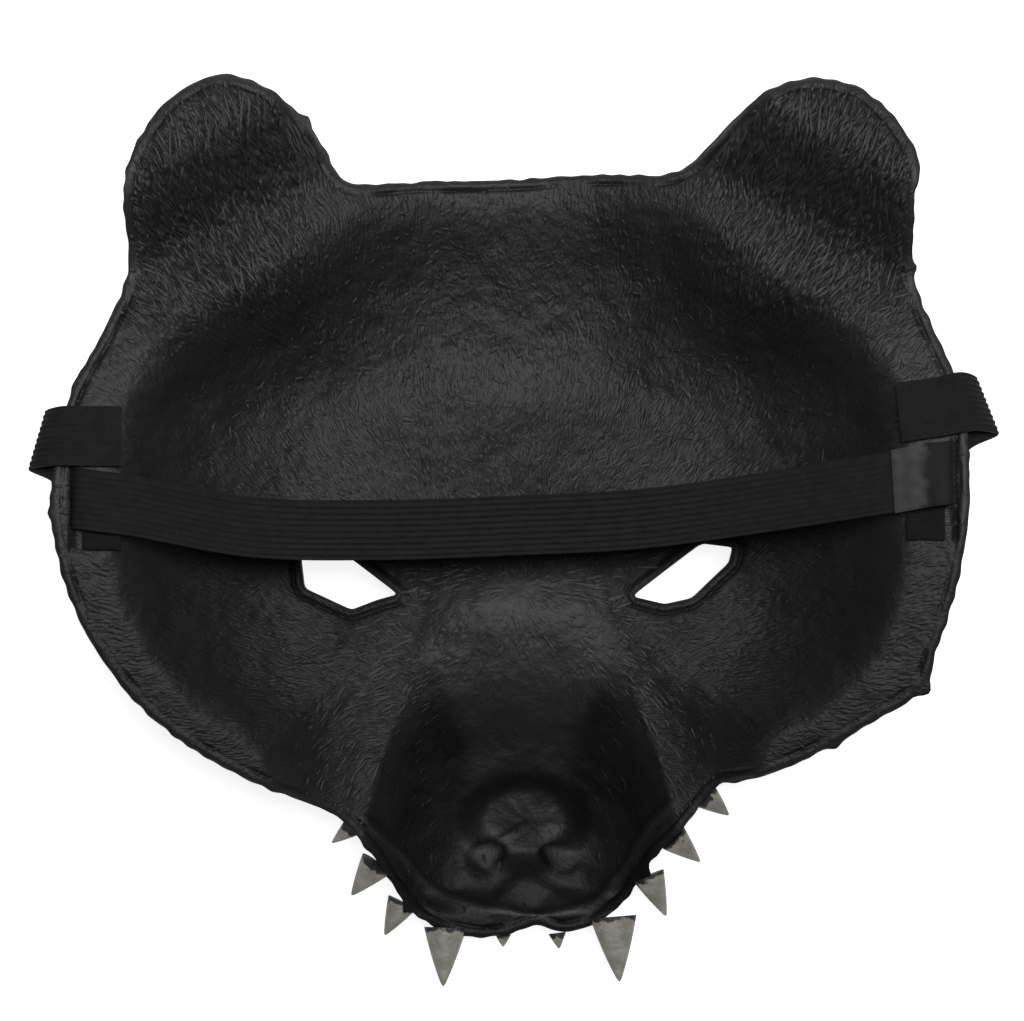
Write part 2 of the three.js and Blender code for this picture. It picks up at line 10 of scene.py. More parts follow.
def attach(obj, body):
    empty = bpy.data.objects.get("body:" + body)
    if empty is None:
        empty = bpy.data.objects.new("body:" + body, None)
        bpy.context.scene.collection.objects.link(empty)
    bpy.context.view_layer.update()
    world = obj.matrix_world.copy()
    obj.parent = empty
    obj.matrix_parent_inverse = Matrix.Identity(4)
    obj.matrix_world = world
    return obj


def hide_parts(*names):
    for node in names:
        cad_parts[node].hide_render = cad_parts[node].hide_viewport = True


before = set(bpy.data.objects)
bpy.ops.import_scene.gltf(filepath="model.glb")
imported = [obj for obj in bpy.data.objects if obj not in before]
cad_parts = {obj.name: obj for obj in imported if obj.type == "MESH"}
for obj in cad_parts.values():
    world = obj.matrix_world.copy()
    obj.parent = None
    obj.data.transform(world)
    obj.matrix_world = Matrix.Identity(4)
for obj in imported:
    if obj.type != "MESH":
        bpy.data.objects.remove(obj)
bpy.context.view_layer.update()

MM = 0.001

# Sizes that are the same as the solids'.
WALL = 3
GAP = 0.3
RIM_CREST = 46
RIM_CREST_Y = -3
RIM_BEND_UP = 0.003
RIM_BEND_DOWN = 0.0015
RIM_RISE = 8
RIM_HALF_WIDTH = 110
TOP_DROP = 15
TOP_DROP_Y = 25
TOP_DROP_RUN = 55
TOP_SPREAD = 36
EAR_FOOT_Y = 42
EAR_TILT = 0.27
EAR_CURL = 18
EAR_RUN = 34
EAR_TURN_X = 0.5
EAR_TURN_Y = 0.85
EAR_INNER_X = 38
EAR_INNER_RUN = 22
EAR_LOW_Y = 50
EAR_LOW_RUN = 25
HOLLOW_X = 0
HOLLOW_Y = 10
HOLLOW_LIP = 0.06
CREST_ROUND = 0.05
EAR_CREST_ROUND = 0.1
MIDLINE = 1.4
SECTION_STEP = 20
COLUMN_STEP = 30
BRIDGE_Y = -4
BRIDGE_RUN = 18
MUZZLE_ROUND = 2
NOSE_X = 2.7
NOSE_Y = -75.5
NOSE_HALF_WIDTH = 17
NOSE_HALF_HEIGHT = 13.5
NOSE_DEPTH = 5
NOSE_SQUARENESS = 2.2
NOSE_WALL = 0.6
PAD_Y = -75.5
PAD_RISE = 1.5
PAD_SPREAD = 6
NOSTRIL_X = 10
NOSTRIL_Y = -84
NOSTRIL_RISE = 3.5
NOSTRIL_SPREAD = 3
PHILTRUM_Y = -92.6
PHILTRUM_RISE = 2.4
PHILTRUM_SPREAD_X = 6
PHILTRUM_SPREAD_Y = 2.6
LIP_Y = -91
LIP_RUN = 9
LIP_RISE = 6
STRAP_WIDTH = 15
STRAP_THICKNESS = 1.2
TAPE_WIDTH = 15.6
TAPE_THICKNESS = 0.5
PATCH_THICKNESS = 1
TOOTH_ROOT = 5
TOOTH_FULL = 0.98
TOOTH_BULGE = 1.25
TOOTH_TAPER = 0.9

# The slits are narrower and shorter than the solid's, so that the strap hides them.
SLIT_WIDTH = 1.0
SLIT_TUCK = 1.5

# Painted shade: the foam's gloss is lowered on the muzzle's walls, round the nose and on the cheeks, where
# shade falls.
PAINTED_SHADE_Y = -24
PAINTED_SHADE_RUN = 20
PAINTED_SHADE_HALF_WIDTH = 9
WIDEN_Y = -60
WIDEN_RUN = 35
PAINTED_SHADE_NOSE = 0.25
PAINTED_SHADE_NOSE_Y = -52
PAINTED_SHADE_LIP = 0.7
PAINTED_SHADE_LIP_Y = -80
PAINTED_SHADE_CHEEKS = 0.45
CHEEK_X = 25
CHEEK_TOP_Y = 10
CHEEK_RUN = 20
# It shines a little all over. Painted sheen makes it shine more on the muzzle's floor and the ears, and a
# painted highlight lies along the lip's crease.
SHINE_ALL = 0.2
PAINTED_SHEEN_EARS = 0.25
PAINTED_SHEEN_FLOOR = 0.6
PAINTED_SHEEN_FLOOR_END_Y = -64
PAINTED_SHADE_SHEEN_RUN = 10
PAINTED_HIGHLIGHT_CREASE = 1.2
PAINTED_HIGHLIGHT_CREASE_SPREAD = 0.7

# Outer edge: left x, left y, right x, right y, from the middle of the forehead to the middle of the lip.
OUTLINE = [
    (-24.5, 91, 22, 93),
    (-41.5, 90, 39, 92.5),
    (-45.5, 92.5, 45, 95),
    (-50, 101, 55.5, 105),
    (-60.5, 111, 64, 111.5),
    (-73, 115, 75, 114),
    (-85, 109, 87.5, 110),
    (-94, 95.5, 99, 94),
    (-96.5, 83.5, 98.5, 80),
    (-96.5, 66, 99.5, 64.5),
    (-102, 51, 104, 51),
    (-109.5, 35, 110, 35),
    (-113, 18.5, 111.5, 18.5),
    (-113.5, 6, 111, 3.5),
    (-111, -9.5, 108.5, -12),
    (-105.5, -23.5, 104, -27),
    (-97, -37, 100, -38),
    (-86.5, -48, 85.5, -48),
    (-71, -58.5, 70.5, -56.5),
    (-53.5, -67, 56, -62),
    (-44.5, -72, 51.5, -63.5),
    (-37.5, -80, 43.5, -73.5),
    (-31.5, -90, 36, -83),
    (-24.5, -99, 29, -94),
    (-13, -104, 21.5, -100.5),
    (-2.5, -104, 13, -103),
]
FOREHEAD_TOP = (-0.5, 92)
PHILTRUM = (5, -101.5)
# Edge of the hollow, in the same columns.
HOLLOW = [
    (-22, 85.5, 22, 87),
    (-40.5, 77, 42.5, 79.5),
    (-59, 63, 60, 63),
    (-79.5, 50, 81, 49),
    (-92.5, 33.5, 92, 33.5),
    (-95.5, 13.5, 93.5, 13.5),
    (-96, -6, 92.5, -8.5),
    (-90, -24.5, 86.5, -28.5),
    (-76.5, -42, 74, -42),
    (-62, -54, 60, -52),
    (-57, -84, 60, -82),
    (-46, -124, 46, -124),
]
HOLLOW_TOP = (-0.5, 86)
HOLLOW_CHIN = (0, -136)

# Height of the face's inner side every 20 mm from the forehead: at the middle, brow, side and edge.
FACE_TOP_Y = 100.0
FACE = [
    (6, 6, 8, 14),
    (0, 0, 2, 9),
    (-4.5, -4.5, -2, 5),
    (-2, -2, -0.5, 4),
    (8, 8, 7, 9),
    (17.5, 14.5, 10, 12),
    (25, 18.5, 10, 12),
    (25, 20.5, 12, 13),
    (23, 19.5, 17, 20),
    (23, 22, 23, 27),
    (29, 29, 29, 30),
    (30, 30, 30, 30),
]
# Muzzle every 20 mm from y = 0: floor height, half width at the floor and at the top of the walls.
MUZZLE = [
    (19, 6, 18),
    (26, 8, 25),
    (22, 7, 29),
    (10.5, 6, 36),
    (5.5, 9, 40),
    (8, 14, 38),
    (9, 18, 36),
]
# Middle of each ear's curl: x, y.
EARS = [
    (-74, 89),
    (79, 86),
]
EYE_LEFT = [(-30, -15.5), (-35.5, -17), (-42, -19.5), (-54, -14), (-55, -6), (-44, -5)]
EYE_RIGHT = [(30, -16), (38.5, -18), (45.5, -16.5), (55, -7.5), (56, -3.5), (48, -2.5)]
# Slits: x, low y, high y.
SLITS = [(-108.6, 1, 17), (107.9, 7.5, 23.5)]
# Teeth: node, gum x, gum y, tip x, tip y, rise of the tip, width, thickness.
TEETH = [
    ("tooth_left_back", -41.5, -74.5, -46.5, -78.5, 0, 7.5, 4),
    ("tooth_left_mid", -35.5, -84.5, -42, -93, -3, 11, 5),
    ("tooth_left_side", -29, -95, -33.5, -103.5, 0, 10.5, 5),
    ("canine_left", -18, -102, -18.5, -117, 2, 13, 6),
    ("incisor_left", -3, -104, -3, -107, 0.5, 8, 4),
    ("incisor_right", 11, -103.5, 11.5, -107.5, 0.5, 8, 4),
    ("canine_right", 25.5, -99, 27, -115.5, 2, 14, 6),
    ("tooth_right_side", 34.5, -88, 39, -98.5, 0, 10.5, 5),
    ("tooth_right_mid", 40.5, -77.5, 47.5, -84, -3, 10, 5),
    ("tooth_right_back", 48.5, -66.5, 54.5, -71.5, -2, 9.5, 4),
]
# Strap stations from its left end: x, y, z, lean and slant of its width.
STRAP = [
    (-96.7, 24.2, 51, -0.16, 0),
    (-105, 24.2, 52.1, -0.16, 0.05),
    (-113, 24.2, 53.3, -0.16, 0.2),
    (-117, 23, 50.8, -0.16, 0.26),
    (-112.6, 20, 48.2, -0.15, 0.1),
    (-109.2, 9.5, 49.4, -0.08, 0),
    (-108, 9, 53, -0.07, 0),
    (-106, 8.9, 55.6, -0.07, 0),
    (-102.8, 8.4, 55.2, -0.07, 0),
    (-94, 7.2, 53.5, -0.06, 0),
    (-65.6, 1.9, 45, 0, 0),
    (-33.6, 1.1, 40, 0.1, 0),
    (-0.7, 2.2, 38, 0.12, 0),
    (31.3, 3.9, 40, 0.1, 0),
    (65.7, 8.6, 45, 0, 0),
    (92.8, 13, 52.7, -0.1, -0.05),
    (100.5, 14.4, 54.4, -0.1, -0.05),
    (106.4, 15.2, 54.8, -0.11, 0),
    (108, 15.5, 52, -0.11, 0),
    (108.8, 15.8, 48.3, -0.12, 0),
    (110.8, 28, 46.4, -0.2, -0.15),
    (116.3, 31.5, 47.8, -0.2, -0.36),
    (111.6, 32.8, 51.4, -0.2, -0.25),
    (104, 31.4, 50.6, -0.2, -0.1),
    (94.5, 30, 49.5, -0.2, -0.09),
]
# Stations that the tape runs between.
TAPE_FROM, TAPE_TO = 15, 17
# Patches: piece, node, low x, high x, low y, high y.
PATCHES = [
    ("patch_left", "slot_patch_left", -105.8, -96.6, -3.6, 8),
    ("patch_right", "slot_patch_right", 96, 105.2, -1.2, 13),
]
# Cuts of the slits, longer than the strap is wide: x, low y, high y.
SLIT_LINES = [(-108.6, -3.4, 17.0), (107.9, -0.7, 23.5)]

# Nubs of moulding flash on the cut edge: x, y, reach, spread.
RAGGED = 0.13
NUBS = [
    (-113.8, 5.4, 1.2, 1.2),
    (-53.0, 105.3, 1.7, 0.9),
    (100.0, 66.5, 1.5, 0.9),
    (100.6, -37.5, 2.2, 1.6),
    (79.0, -52.3, 1.4, 1.1),
    (-27.5, -96.2, 1.6, 0.9),
    (33.2, -86.8, 1.6, 0.9),
]
# Fine lines of the nose and the lip.
NOSE_CREASE = [(-4.4, -80.6), (0.4, -78.4), (2.6, -76.6)]
NOSE_LOBES = [(-7.6, -84.2), (12.0, -84.8)]
PHILTRUM_RIDGE = [(-3.6, -95.0), (0.2, -91.8), (2.8, -90.8), (6.0, -91.8), (12.6, -94.9)]
PHILTRUM_PIT = (4.6, -96.8)
# Marks in the inner side: distance from its line, height and spread.
RIM_GROOVE = (2.6, -0.7, 0.28)
RIM_BEAD = (1.4, 0.25, 0.7)
SLIT_CUT = (0, -1.3, 0.4)
EYE_BEAD = (1.2, 0.35, 0.7)
EYE_GROOVE = (2.3, -1.0, 0.3)
EYE_WRINKLES = [(4.4, -0.6, 0.5), (6.4, -0.4, 0.6)]
NOSE_CREASE_MARK = (0, -0.7, 0.5)
PHILTRUM_MARK = (0, 0.6, 1.2)
PIT_MARK = (0, -1.6, 1.6)
PIT_SQUASH = (0.5, 1)
LIP_MARK = (0, 0.9, 0.8)
EDGE_DROP = 0.4
RIM_EDGE = 0.8
EYE_EDGE = 0.6
LUMP_HEIGHT = 0.12
LUMP_RUN = 8
GROOVE_SHARE = 0.45
GROOVE_UNEVEN = 0.5
GROOVE_LEAST = 0.1
GRAIN_HEIGHT = 0.07
# Wrinkles lie at the inner corner of the right eye.
WRINKLE_X = 38
WRINKLE_X_RUN = 12
WRINKLE_Y = -6
WRINKLE_Y_RUN = 8
LOBE_SHARE = 0.9
LOBE_RADIUS = 5.2
LOBE_RUN = 3.6
LOBE_SQUASH = (0.8, 1.3)
LIP_LINE = [
    (-38.5, -72.5), (-34.3, -77.5), (-29.2, -83.4), (-21.9, -92.3), (-15.2, -95.6),
    (-9.0, -97.2), (-0.7, -98.2), (7.8, -98.6), (16.0, -97.6), (22.2, -94.9),
    (25.3, -91.2), (29.4, -85.5), (35.9, -73.4), (40.0, -68.5),
]


# Curves and fields

def smooth(t):
    u = np.clip(t, 0.0, 1.0)
    return u * u * u * (u * (6 * u - 15) + 10)


def bell(distance, spread):
    return np.exp(-(distance * distance) / (2 * spread * spread))


def spline(values, position):
    """Even Catmull-Rom; values is one column, or one column for each position."""
    values = np.asarray(values, float)
    last = len(values) - 1
    t = np.clip(np.asarray(position, float), 0, last)
    i = np.minimum(t.astype(int), last - 1)
    u = t - i

    def pick(k):
        k = np.clip(k, 0, last)
        return values[k] if values.ndim == 1 else values[k, np.arange(len(k))]

    a, b, c, d = pick(i - 1), pick(i), pick(i + 1), pick(i + 2)
    return b + 0.5 * u * (c - a + u * (2 * a - 5 * b + 4 * c - d + u * (-a + 3 * b - 3 * c + d)))


def curve_points(points, places, closed):
    """Centripetal Catmull-Rom through points, at places counted in points."""
    points = np.asarray(points, float)
    count = len(points)
    if closed:
        knots = np.vstack([points[-1:], points, points[:3]])
    else:
        knots = np.vstack([2 * points[:1] - points[1:2], points, 2 * points[-1:] - points[-2:-1]])
    places = np.asarray(places, float)
    i = np.floor(places).astype(int)
    i = i % count if closed else np.clip(i, 0, count - 2)
    u = (places - np.floor(places) if closed else places - i)[:, None]
    x0, x1, x2, x3 = (knots[i + k] for k in range(4))
    pairs = ((x0, x1), (x1, x2), (x2, x3))
    d0, d1, d2 = (np.sqrt(np.linalg.norm(b - a, axis=1))[:, None] for a, b in pairs)
    t1 = ((x1 - x0) / d0 - (x2 - x0) / (d0 + d1) + (x2 - x1) / d1) * d1
    t2 = ((x2 - x1) / d1 - (x3 - x1) / (d1 + d2) + (x3 - x2) / d2) * d1
    c2 = -3 * x1 + 3 * x2 - 2 * t1 - t2
    c3 = 2 * x1 - 2 * x2 + t1 + t2
    return x1 + u * (t1 + u * (c2 + u * c3))


def closed_loop(rows, first, last, per_row):
    table = np.asarray(rows, float)
    points = np.vstack([[first], table[:, 2:], [last], table[::-1, :2]])
    return curve_points(points, np.arange(len(points) * per_row) / per_row, True)


def distance_along(points):
    return np.concatenate([[0], np.cumsum(np.linalg.norm(np.diff(points, axis=0), axis=1))])


def unit(vectors):
    return vectors / np.linalg.norm(vectors, axis=1)[:, None]


def resample(loop, step):
    ends = np.vstack([loop, loop[:1]])
    along = distance_along(ends)
    count = int(round(along[-1] / step))
    at = np.arange(count) * along[-1] / count
    return np.stack([np.interp(at, along, ends[:, k]) for k in range(2)], 1)


def line_distance(a, b, points):
    """Distance to the nearest of the segments from a to b."""
    edge = b - a
    length2 = (edge ** 2).sum(1)
    result = np.empty(len(points))
    for start in range(0, len(points), 3000):
        p = points[start:start + 3000]
        rx = p[:, :1] - a[None, :, 0]
        ry = p[:, 1:] - a[None, :, 1]
        u = np.clip((rx * edge[:, 0] + ry * edge[:, 1]) / length2, 0, 1)
        result[start:start + 3000] = ((rx - u * edge[:, 0]) ** 2 + (ry - u * edge[:, 1]) ** 2).min(1)
    return np.sqrt(result)


def inside_distance(loop, points):
    """Distance to a closed loop, positive inside it."""
    ends = np.roll(loop, -1, axis=0)
    crossed = np.zeros(len(points), int)
    for start in range(0, len(points), 3000):
        p = points[start:start + 3000]
        spans = (loop[None, :, 1] > p[:, 1:]) != (ends[None, :, 1] > p[:, 1:])
        with np.errstate(divide="ignore", invalid="ignore"):
            slope = (ends[:, 0] - loop[:, 0]) / (ends[:, 1] - loop[:, 1])
            cross = loop[:, 0] + (p[:, 1:] - loop[:, 1]) * slope
        crossed[start:start + 3000] = (spans & (p[:, :1] < cross)).sum(1)
    near = line_distance(loop, ends, points)
    return np.where(crossed % 2 == 1, near, -near)


def stroke_distance(line, points):
    line = curve_points(line, np.linspace(0, len(line) - 1, 8 * len(line)), False)
    return line_distance(line[:-1], line[1:], points)


def eased_polygon(corners):
    """Closed loop with straight sides and slightly rounded corners."""
    corners = np.asarray(corners, float)
    along = np.arange(24)[:, None] / 24
    loop = np.vstack([a + (b - a) * along for a, b in zip(corners, np.roll(corners, -1, 0))])
    for _ in range(6):
        loop = (np.roll(loop, 1, 0) + 2 * loop + np.roll(loop, -1, 0)) / 4
    return loop


def box_loop(x, low, high):
    half = SLIT_WIDTH / 2
    low, high = low + SLIT_TUCK, high - SLIT_TUCK
    return np.array([(x - half, low), (x + half, low), (x + half, high), (x - half, high)], float)


OUTLINE_LOOP = closed_loop(OUTLINE, FOREHEAD_TOP, PHILTRUM, 12)
HOLLOW_LOOP = closed_loop(HOLLOW, HOLLOW_TOP, HOLLOW_CHIN, 4)
EYE_LOOPS = [eased_polygon(eye) for eye in (EYE_LEFT, EYE_RIGHT)]
SLIT_LOOPS = [box_loop(*slit) for slit in SLITS]


def edge_share(points):
    """Part of the way from the hollow's middle to its edge, 1 at the edge."""
    edge = HOLLOW_LOOP - (HOLLOW_X, HOLLOW_Y)
    turn = np.arctan2(edge[:, 1], edge[:, 0])
    order = np.argsort(turn)
    edge, turn = edge[order], turn[order]
    away = points - (HOLLOW_X, HOLLOW_Y)
    after = np.searchsorted(turn, np.arctan2(away[:, 1], away[:, 0])) % len(edge)
    start = edge[after - 1]
    side = edge[after] - start
    crossing = away[:, 0] * side[:, 1] - away[:, 1] * side[:, 0]
    return crossing / (start[:, 0] * side[:, 1] - start[:, 1] * side[:, 0])


def sunk_share(points):
    """How far the hollow has sunk: an elliptic bowl with a rounded crest, softer under the ears."""
    inside = 1 - edge_share(points)
    soft = CREST_ROUND + (EAR_CREST_ROUND - CREST_ROUND) * smooth((points[:, 1] - TOP_DROP_Y) / EAR_RUN)
    crest = np.maximum(inside + soft, 0) ** 2 / (4 * soft)
    out = 1 - np.where(inside < soft, crest, inside)
    lip = math.sqrt(HOLLOW_LIP)
    return (np.sqrt(1 - out * out + HOLLOW_LIP) - lip) / (math.sqrt(1 + HOLLOW_LIP) - lip)


def ear_lift(x, y):
    (left_x, left_y), (right_x, right_y) = EARS
    out = np.abs(x) - np.where(x < 0, abs(left_x), right_x)
    along = out * EAR_TURN_X + (y - np.where(x < 0, left_y, right_y)) * EAR_TURN_Y
    ends = smooth((np.abs(x) - EAR_INNER_X) / EAR_INNER_RUN) * smooth((y - EAR_LOW_Y) / EAR_LOW_RUN)
    return EAR_CURL * smooth(along / EAR_RUN + 0.5) * ends


def flange(x, y):
    back = np.minimum(y, EAR_FOOT_Y) - RIM_CREST_Y
    bend = np.where(back > 0, RIM_BEND_UP, RIM_BEND_DOWN)
    plane = RIM_CREST - bend * back * back + RIM_RISE * (x / RIM_HALF_WIDTH) ** 2
    ear = ear_lift(x, y) - EAR_TILT * np.maximum(y - EAR_FOOT_Y, 0)
    return plane + ear - TOP_DROP * bell(x, TOP_SPREAD) * smooth((y - TOP_DROP_Y) / TOP_DROP_RUN)


def face(x, y):
    across = np.abs(x - MIDLINE) / COLUMN_STEP + 1
    heights = np.stack([spline([brow, mid, brow, side, edge], across) for mid, brow, side, edge in FACE])
    return spline(heights, (FACE_TOP_Y - y) / SECTION_STEP)


def muzzle_floor(x, y, floor):
    """The muzzle's floor with a pocket for the nose, and the nose's pad and nostrils in it."""
    across = x - NOSE_X
    wide = (np.abs(across) / NOSE_HALF_WIDTH) ** NOSE_SQUARENESS
    tall = (np.abs(y - NOSE_Y) / NOSE_HALF_HEIGHT) ** NOSE_SQUARENESS
    pocket = NOSE_DEPTH * smooth((1.1 - (wide + tall) ** (1 / NOSE_SQUARENESS)) / NOSE_WALL)
    pad = PAD_RISE * bell(np.hypot(across, y - PAD_Y), PAD_SPREAD)
    nostrils = NOSTRIL_RISE * bell(np.hypot(np.abs(across) - NOSTRIL_X, y - NOSTRIL_Y), NOSTRIL_SPREAD)
    ridge = PHILTRUM_RISE * bell(across, PHILTRUM_SPREAD_X) * bell(y - PHILTRUM_Y, PHILTRUM_SPREAD_Y)
    lip = LIP_RISE * smooth((LIP_Y - y) / LIP_RUN)
    return floor - pocket + pad + nostrils + ridge + lip


def inner_skin(points):
    """Height of the mask's inner side, and how much of the muzzle is in it."""
    x, y = points[:, 0], points[:, 1]
    rim = flange(x, y)
    cheek = rim + (face(x, y) - rim) * sunk_share(points)
    columns = np.array(MUZZLE, float).T
    floor, half_floor, half_top = (spline(column, -y / SECTION_STEP) for column in columns)
    climb = (half_top - np.abs(x - MIDLINE)) / (half_top - half_floor)
    walls = 1 - (1 - np.clip(climb, 0, 1)) ** MUZZLE_ROUND
    muzzle = walls * smooth((BRIDGE_Y - y) / BRIDGE_RUN)
    return cheek + (muzzle_floor(x, y, floor) - cheek) * muzzle, muzzle


# Even grid of the skin's height, from which the rolled-ball outer skin, slopes and fur are read.
GRID_STEP = 0.5
GRID_X0, GRID_X1, GRID_Y0, GRID_Y1 = -124.0, 124.0, -116.0, 126.0
GRID_XS = np.arange(GRID_X0, GRID_X1 + 0.1, GRID_STEP)
GRID_YS = np.arange(GRID_Y0, GRID_Y1 + 0.1, GRID_STEP)
GRID_SHAPE = (len(GRID_YS), len(GRID_XS))
GRID_POINTS = np.stack([a.ravel() for a in np.meshgrid(GRID_XS, GRID_YS)], 1)


def from_grid(field, points):
    gx = np.clip((points[:, 0] - GRID_X0) / GRID_STEP, 0, GRID_SHAPE[1] - 1.001)
    gy = np.clip((points[:, 1] - GRID_Y0) / GRID_STEP, 0, GRID_SHAPE[0] - 1.001)
    i, j = gx.astype(int), gy.astype(int)
    u, v = gx - i, gy - j
    low = field[j, i] * (1 - u) + field[j, i + 1] * u
    high = field[j + 1, i] * (1 - u) + field[j + 1, i + 1] * u
    return low * (1 - v) + high * v


def rolled_under(height, radius):
    """Underside of a wall: the lowest reach of a ball rolled along the height grid."""
    reach = int(radius / GRID_STEP)
    padded = np.pad(height, reach, mode="edge")
    low = np.full(height.shape, np.inf)
    for j in range(-reach, reach + 1):
        for i in range(-reach, reach + 1):
            left = radius ** 2 - (i * i + j * j) * GRID_STEP ** 2
            if left < 0:
                continue
            part = padded[reach + j:reach + j + height.shape[0], reach + i:reach + i + height.shape[1]]
            low = np.minimum(low, part - math.sqrt(left))
    return low


def blurred_noise(passes, seed):
    """Soft noise on the grid, of zero mean and unit spread."""
    field = np.random.default_rng(seed).standard_normal(GRID_SHAPE)
    for _ in range(passes):
        field = (field + np.roll(field, 1, 0) + np.roll(field, -1, 0)) / 3
        field = (field + np.roll(field, 1, 1) + np.roll(field, -1, 1)) / 3
    return (field - field.mean()) / field.std()


BASE_HEIGHT = inner_skin(GRID_POINTS)[0].reshape(GRID_SHAPE)
OUTER_HEIGHT = np.maximum(rolled_under(BASE_HEIGHT, WALL), 0.0)
LUMPS = blurred_noise(30, 3)
GRAIN = blurred_noise(3, 4)
SWAY = blurred_noise(40, 5)

# Fur runs outwards from the bridge of the nose.
FLOW_X, FLOW_Y = 1.0, -14.0
FLOW_DROP = 36
FLOW_DROP_Y = 10
FLOW_DROP_RUN = 50
FLOW_SWAY = 0.18
FURROW_WIDTH = 0.58
FURROW_LENGTH = 3.2
LANE_NEAR = 78
LANE_FAR = 58
LANE_END = 190
LANE_SCATTER = 0.3
EAR_ANGLE = 0.64
EAR_FAN = 0.3
FAN_STEPS = 720
# Fur is fullest on the ears, and clear of the holes and the deep muzzle.
EAR_FUR_X, EAR_FUR_X_RUN = 40, 25
EAR_FUR_Y, EAR_FUR_Y_RUN = 40, 30
FUR_END_Y, FUR_END_RUN = -34, 14
FOREHEAD_Y, FOREHEAD_RUN = 5, 30
STEEP_UP, STEEP_RUN = 0.85, 0.3
EYE_CLEAR, EYE_CLEAR_RUN = 3, 2
SLIT_CLEAR, SLIT_CLEAR_RUN = 2, 1.5
OUTER_CLEAR, OUTER_CLEAR_RUN = 8, 5
FLOOR_CLEAR, FLOOR_CLEAR_RUN = 3, 4
SHORT_RIM, SHORT_RIM_RUN, SHORT_SHARE = 1.5, 5, 0.65
STEEP_BARE, STEEP_FLAT = 0.7, 0.5
CREST_SPREAD = 0.06
LOOSE_LEAST = 0.25
BARE_NOSE_X, BARE_NOSE_Y, BARE_NOSE_SHARE = 14, 11, 1.4


def fur_flow(plan):
    middle_y = FLOW_Y - FLOW_DROP * smooth((plan[:, 1] - FLOW_DROP_Y) / FLOW_DROP_RUN)
    angle = np.arctan2(plan[:, 1] - middle_y, plan[:, 0] - FLOW_X) + FLOW_SWAY * from_grid(SWAY, plan)
    return np.stack([np.cos(angle), np.sin(angle), np.zeros(len(plan))], 1)


def lane_radius(angle):
    """Usual distance of fur from the middle of its flow; the ears lie farther out."""
    return LANE_NEAR + LANE_FAR * bell(np.abs(angle - math.pi / 2) - EAR_ANGLE, EAR_FAN)


def fur_lanes(plan):
    """Place in the fur, counted in furrows across the flow of the ears and along it."""
    out_x = plan[:, 0] - FLOW_X
    out_y = plan[:, 1] - FLOW_Y + FLOW_DROP
    turns = np.linspace(0, 2 * math.pi, FAN_STEPS + 1)
    counts = np.cumsum(lane_radius(turns - math.pi / 2)) * turns[1] / FURROW_WIDTH
    angle = np.mod(np.arctan2(out_y, out_x) + math.pi / 2, 2 * math.pi)
    across = np.interp(angle, turns, counts) + from_grid(SWAY, plan)
    return np.column_stack([across, np.hypot(out_x, out_y) / FURROW_LENGTH, np.zeros(len(plan))])


def fur_places(pitch, step, seed):
    """Places for strokes, in lanes that fan out along the flow."""
    random = np.random.default_rng(seed)
    lanes = [-math.pi]
    while lanes[-1] < math.pi:
        lanes.append(lanes[-1] + pitch / lane_radius(lanes[-1]))
    lanes = np.array(lanes)[:, None]
    far = np.arange(step, LANE_END, step)[None, :] + step * random.random((len(lanes), 1))
    far = far + LANE_SCATTER * step * random.uniform(-1, 1, far.shape)
    angle = lanes + LANE_SCATTER * pitch / lane_radius(lanes) * random.uniform(-1, 1, far.shape)
    plan = np.stack([FLOW_X + far * np.cos(angle), FLOW_Y + far * np.sin(angle)], -1)
    plan = plan[random.random(far.shape) < far / lane_radius(lanes)]
    return plan[inside_distance(RIM_LOOP, plan) > 1], random


# Meshes

def link_object(name, data):
    thing = bpy.data.objects.new(name, data)
    bpy.context.scene.collection.objects.link(thing)
    return thing


def add_mesh(name, vertices, faces, sharp=None):
    mesh = bpy.data.meshes.new(name)
    mesh.from_pydata((np.asarray(vertices) * MM).tolist(), [], faces)
    mesh.update()
    mesh.polygons.foreach_set("use_smooth", np.ones(len(mesh.polygons), bool))
    if sharp is not None:
        mesh.set_sharp_from_angle(angle=math.radians(sharp))
    return link_object(name, mesh)


def put(piece, name, values):
    values = np.asarray(values, np.float32)
    kind, field = ("FLOAT_VECTOR", "vector") if values.ndim == 2 else ("FLOAT", "value")
    piece.data.attributes.new(name, kind, "POINT").data.foreach_set(field, values.ravel())


def settle(piece, slot, finish, *nodes):
    if not piece.data.materials:
        piece.data.materials.append(finish)
    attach(piece, "root")
    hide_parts(*nodes)


def left_normals(loop):
    along = unit(np.roll(loop, -1, axis=0) - np.roll(loop, 1, axis=0))
    return np.stack([-along[:, 1], along[:, 0]], 1)


def counter_clockwise(loop):
    nxt = np.roll(loop, -1, axis=0)
    area = (loop[:, 0] * nxt[:, 1] - nxt[:, 0] * loop[:, 1]).sum()
    return loop if area > 0 else loop[::-1]


def ragged(loop):
    """The edge as it was cut: slightly uneven, with nubs."""
    rng = np.random.default_rng(8)
    turn = np.arange(len(loop)) / len(loop) * 2 * math.pi
    waves = np.zeros(len(loop))
    for cycles in range(24, 190, 5):
        swing = rng.uniform(-1, 1)
        waves += swing * np.cos(cycles * turn + rng.uniform(0, 6.3))
    waves *= RAGGED / waves.std()
    for x, y, reach, spread in NUBS:
        waves += reach * bell(np.linalg.norm(loop - (x, y), axis=1), spread)
    return loop - left_normals(loop) * waves[:, None]


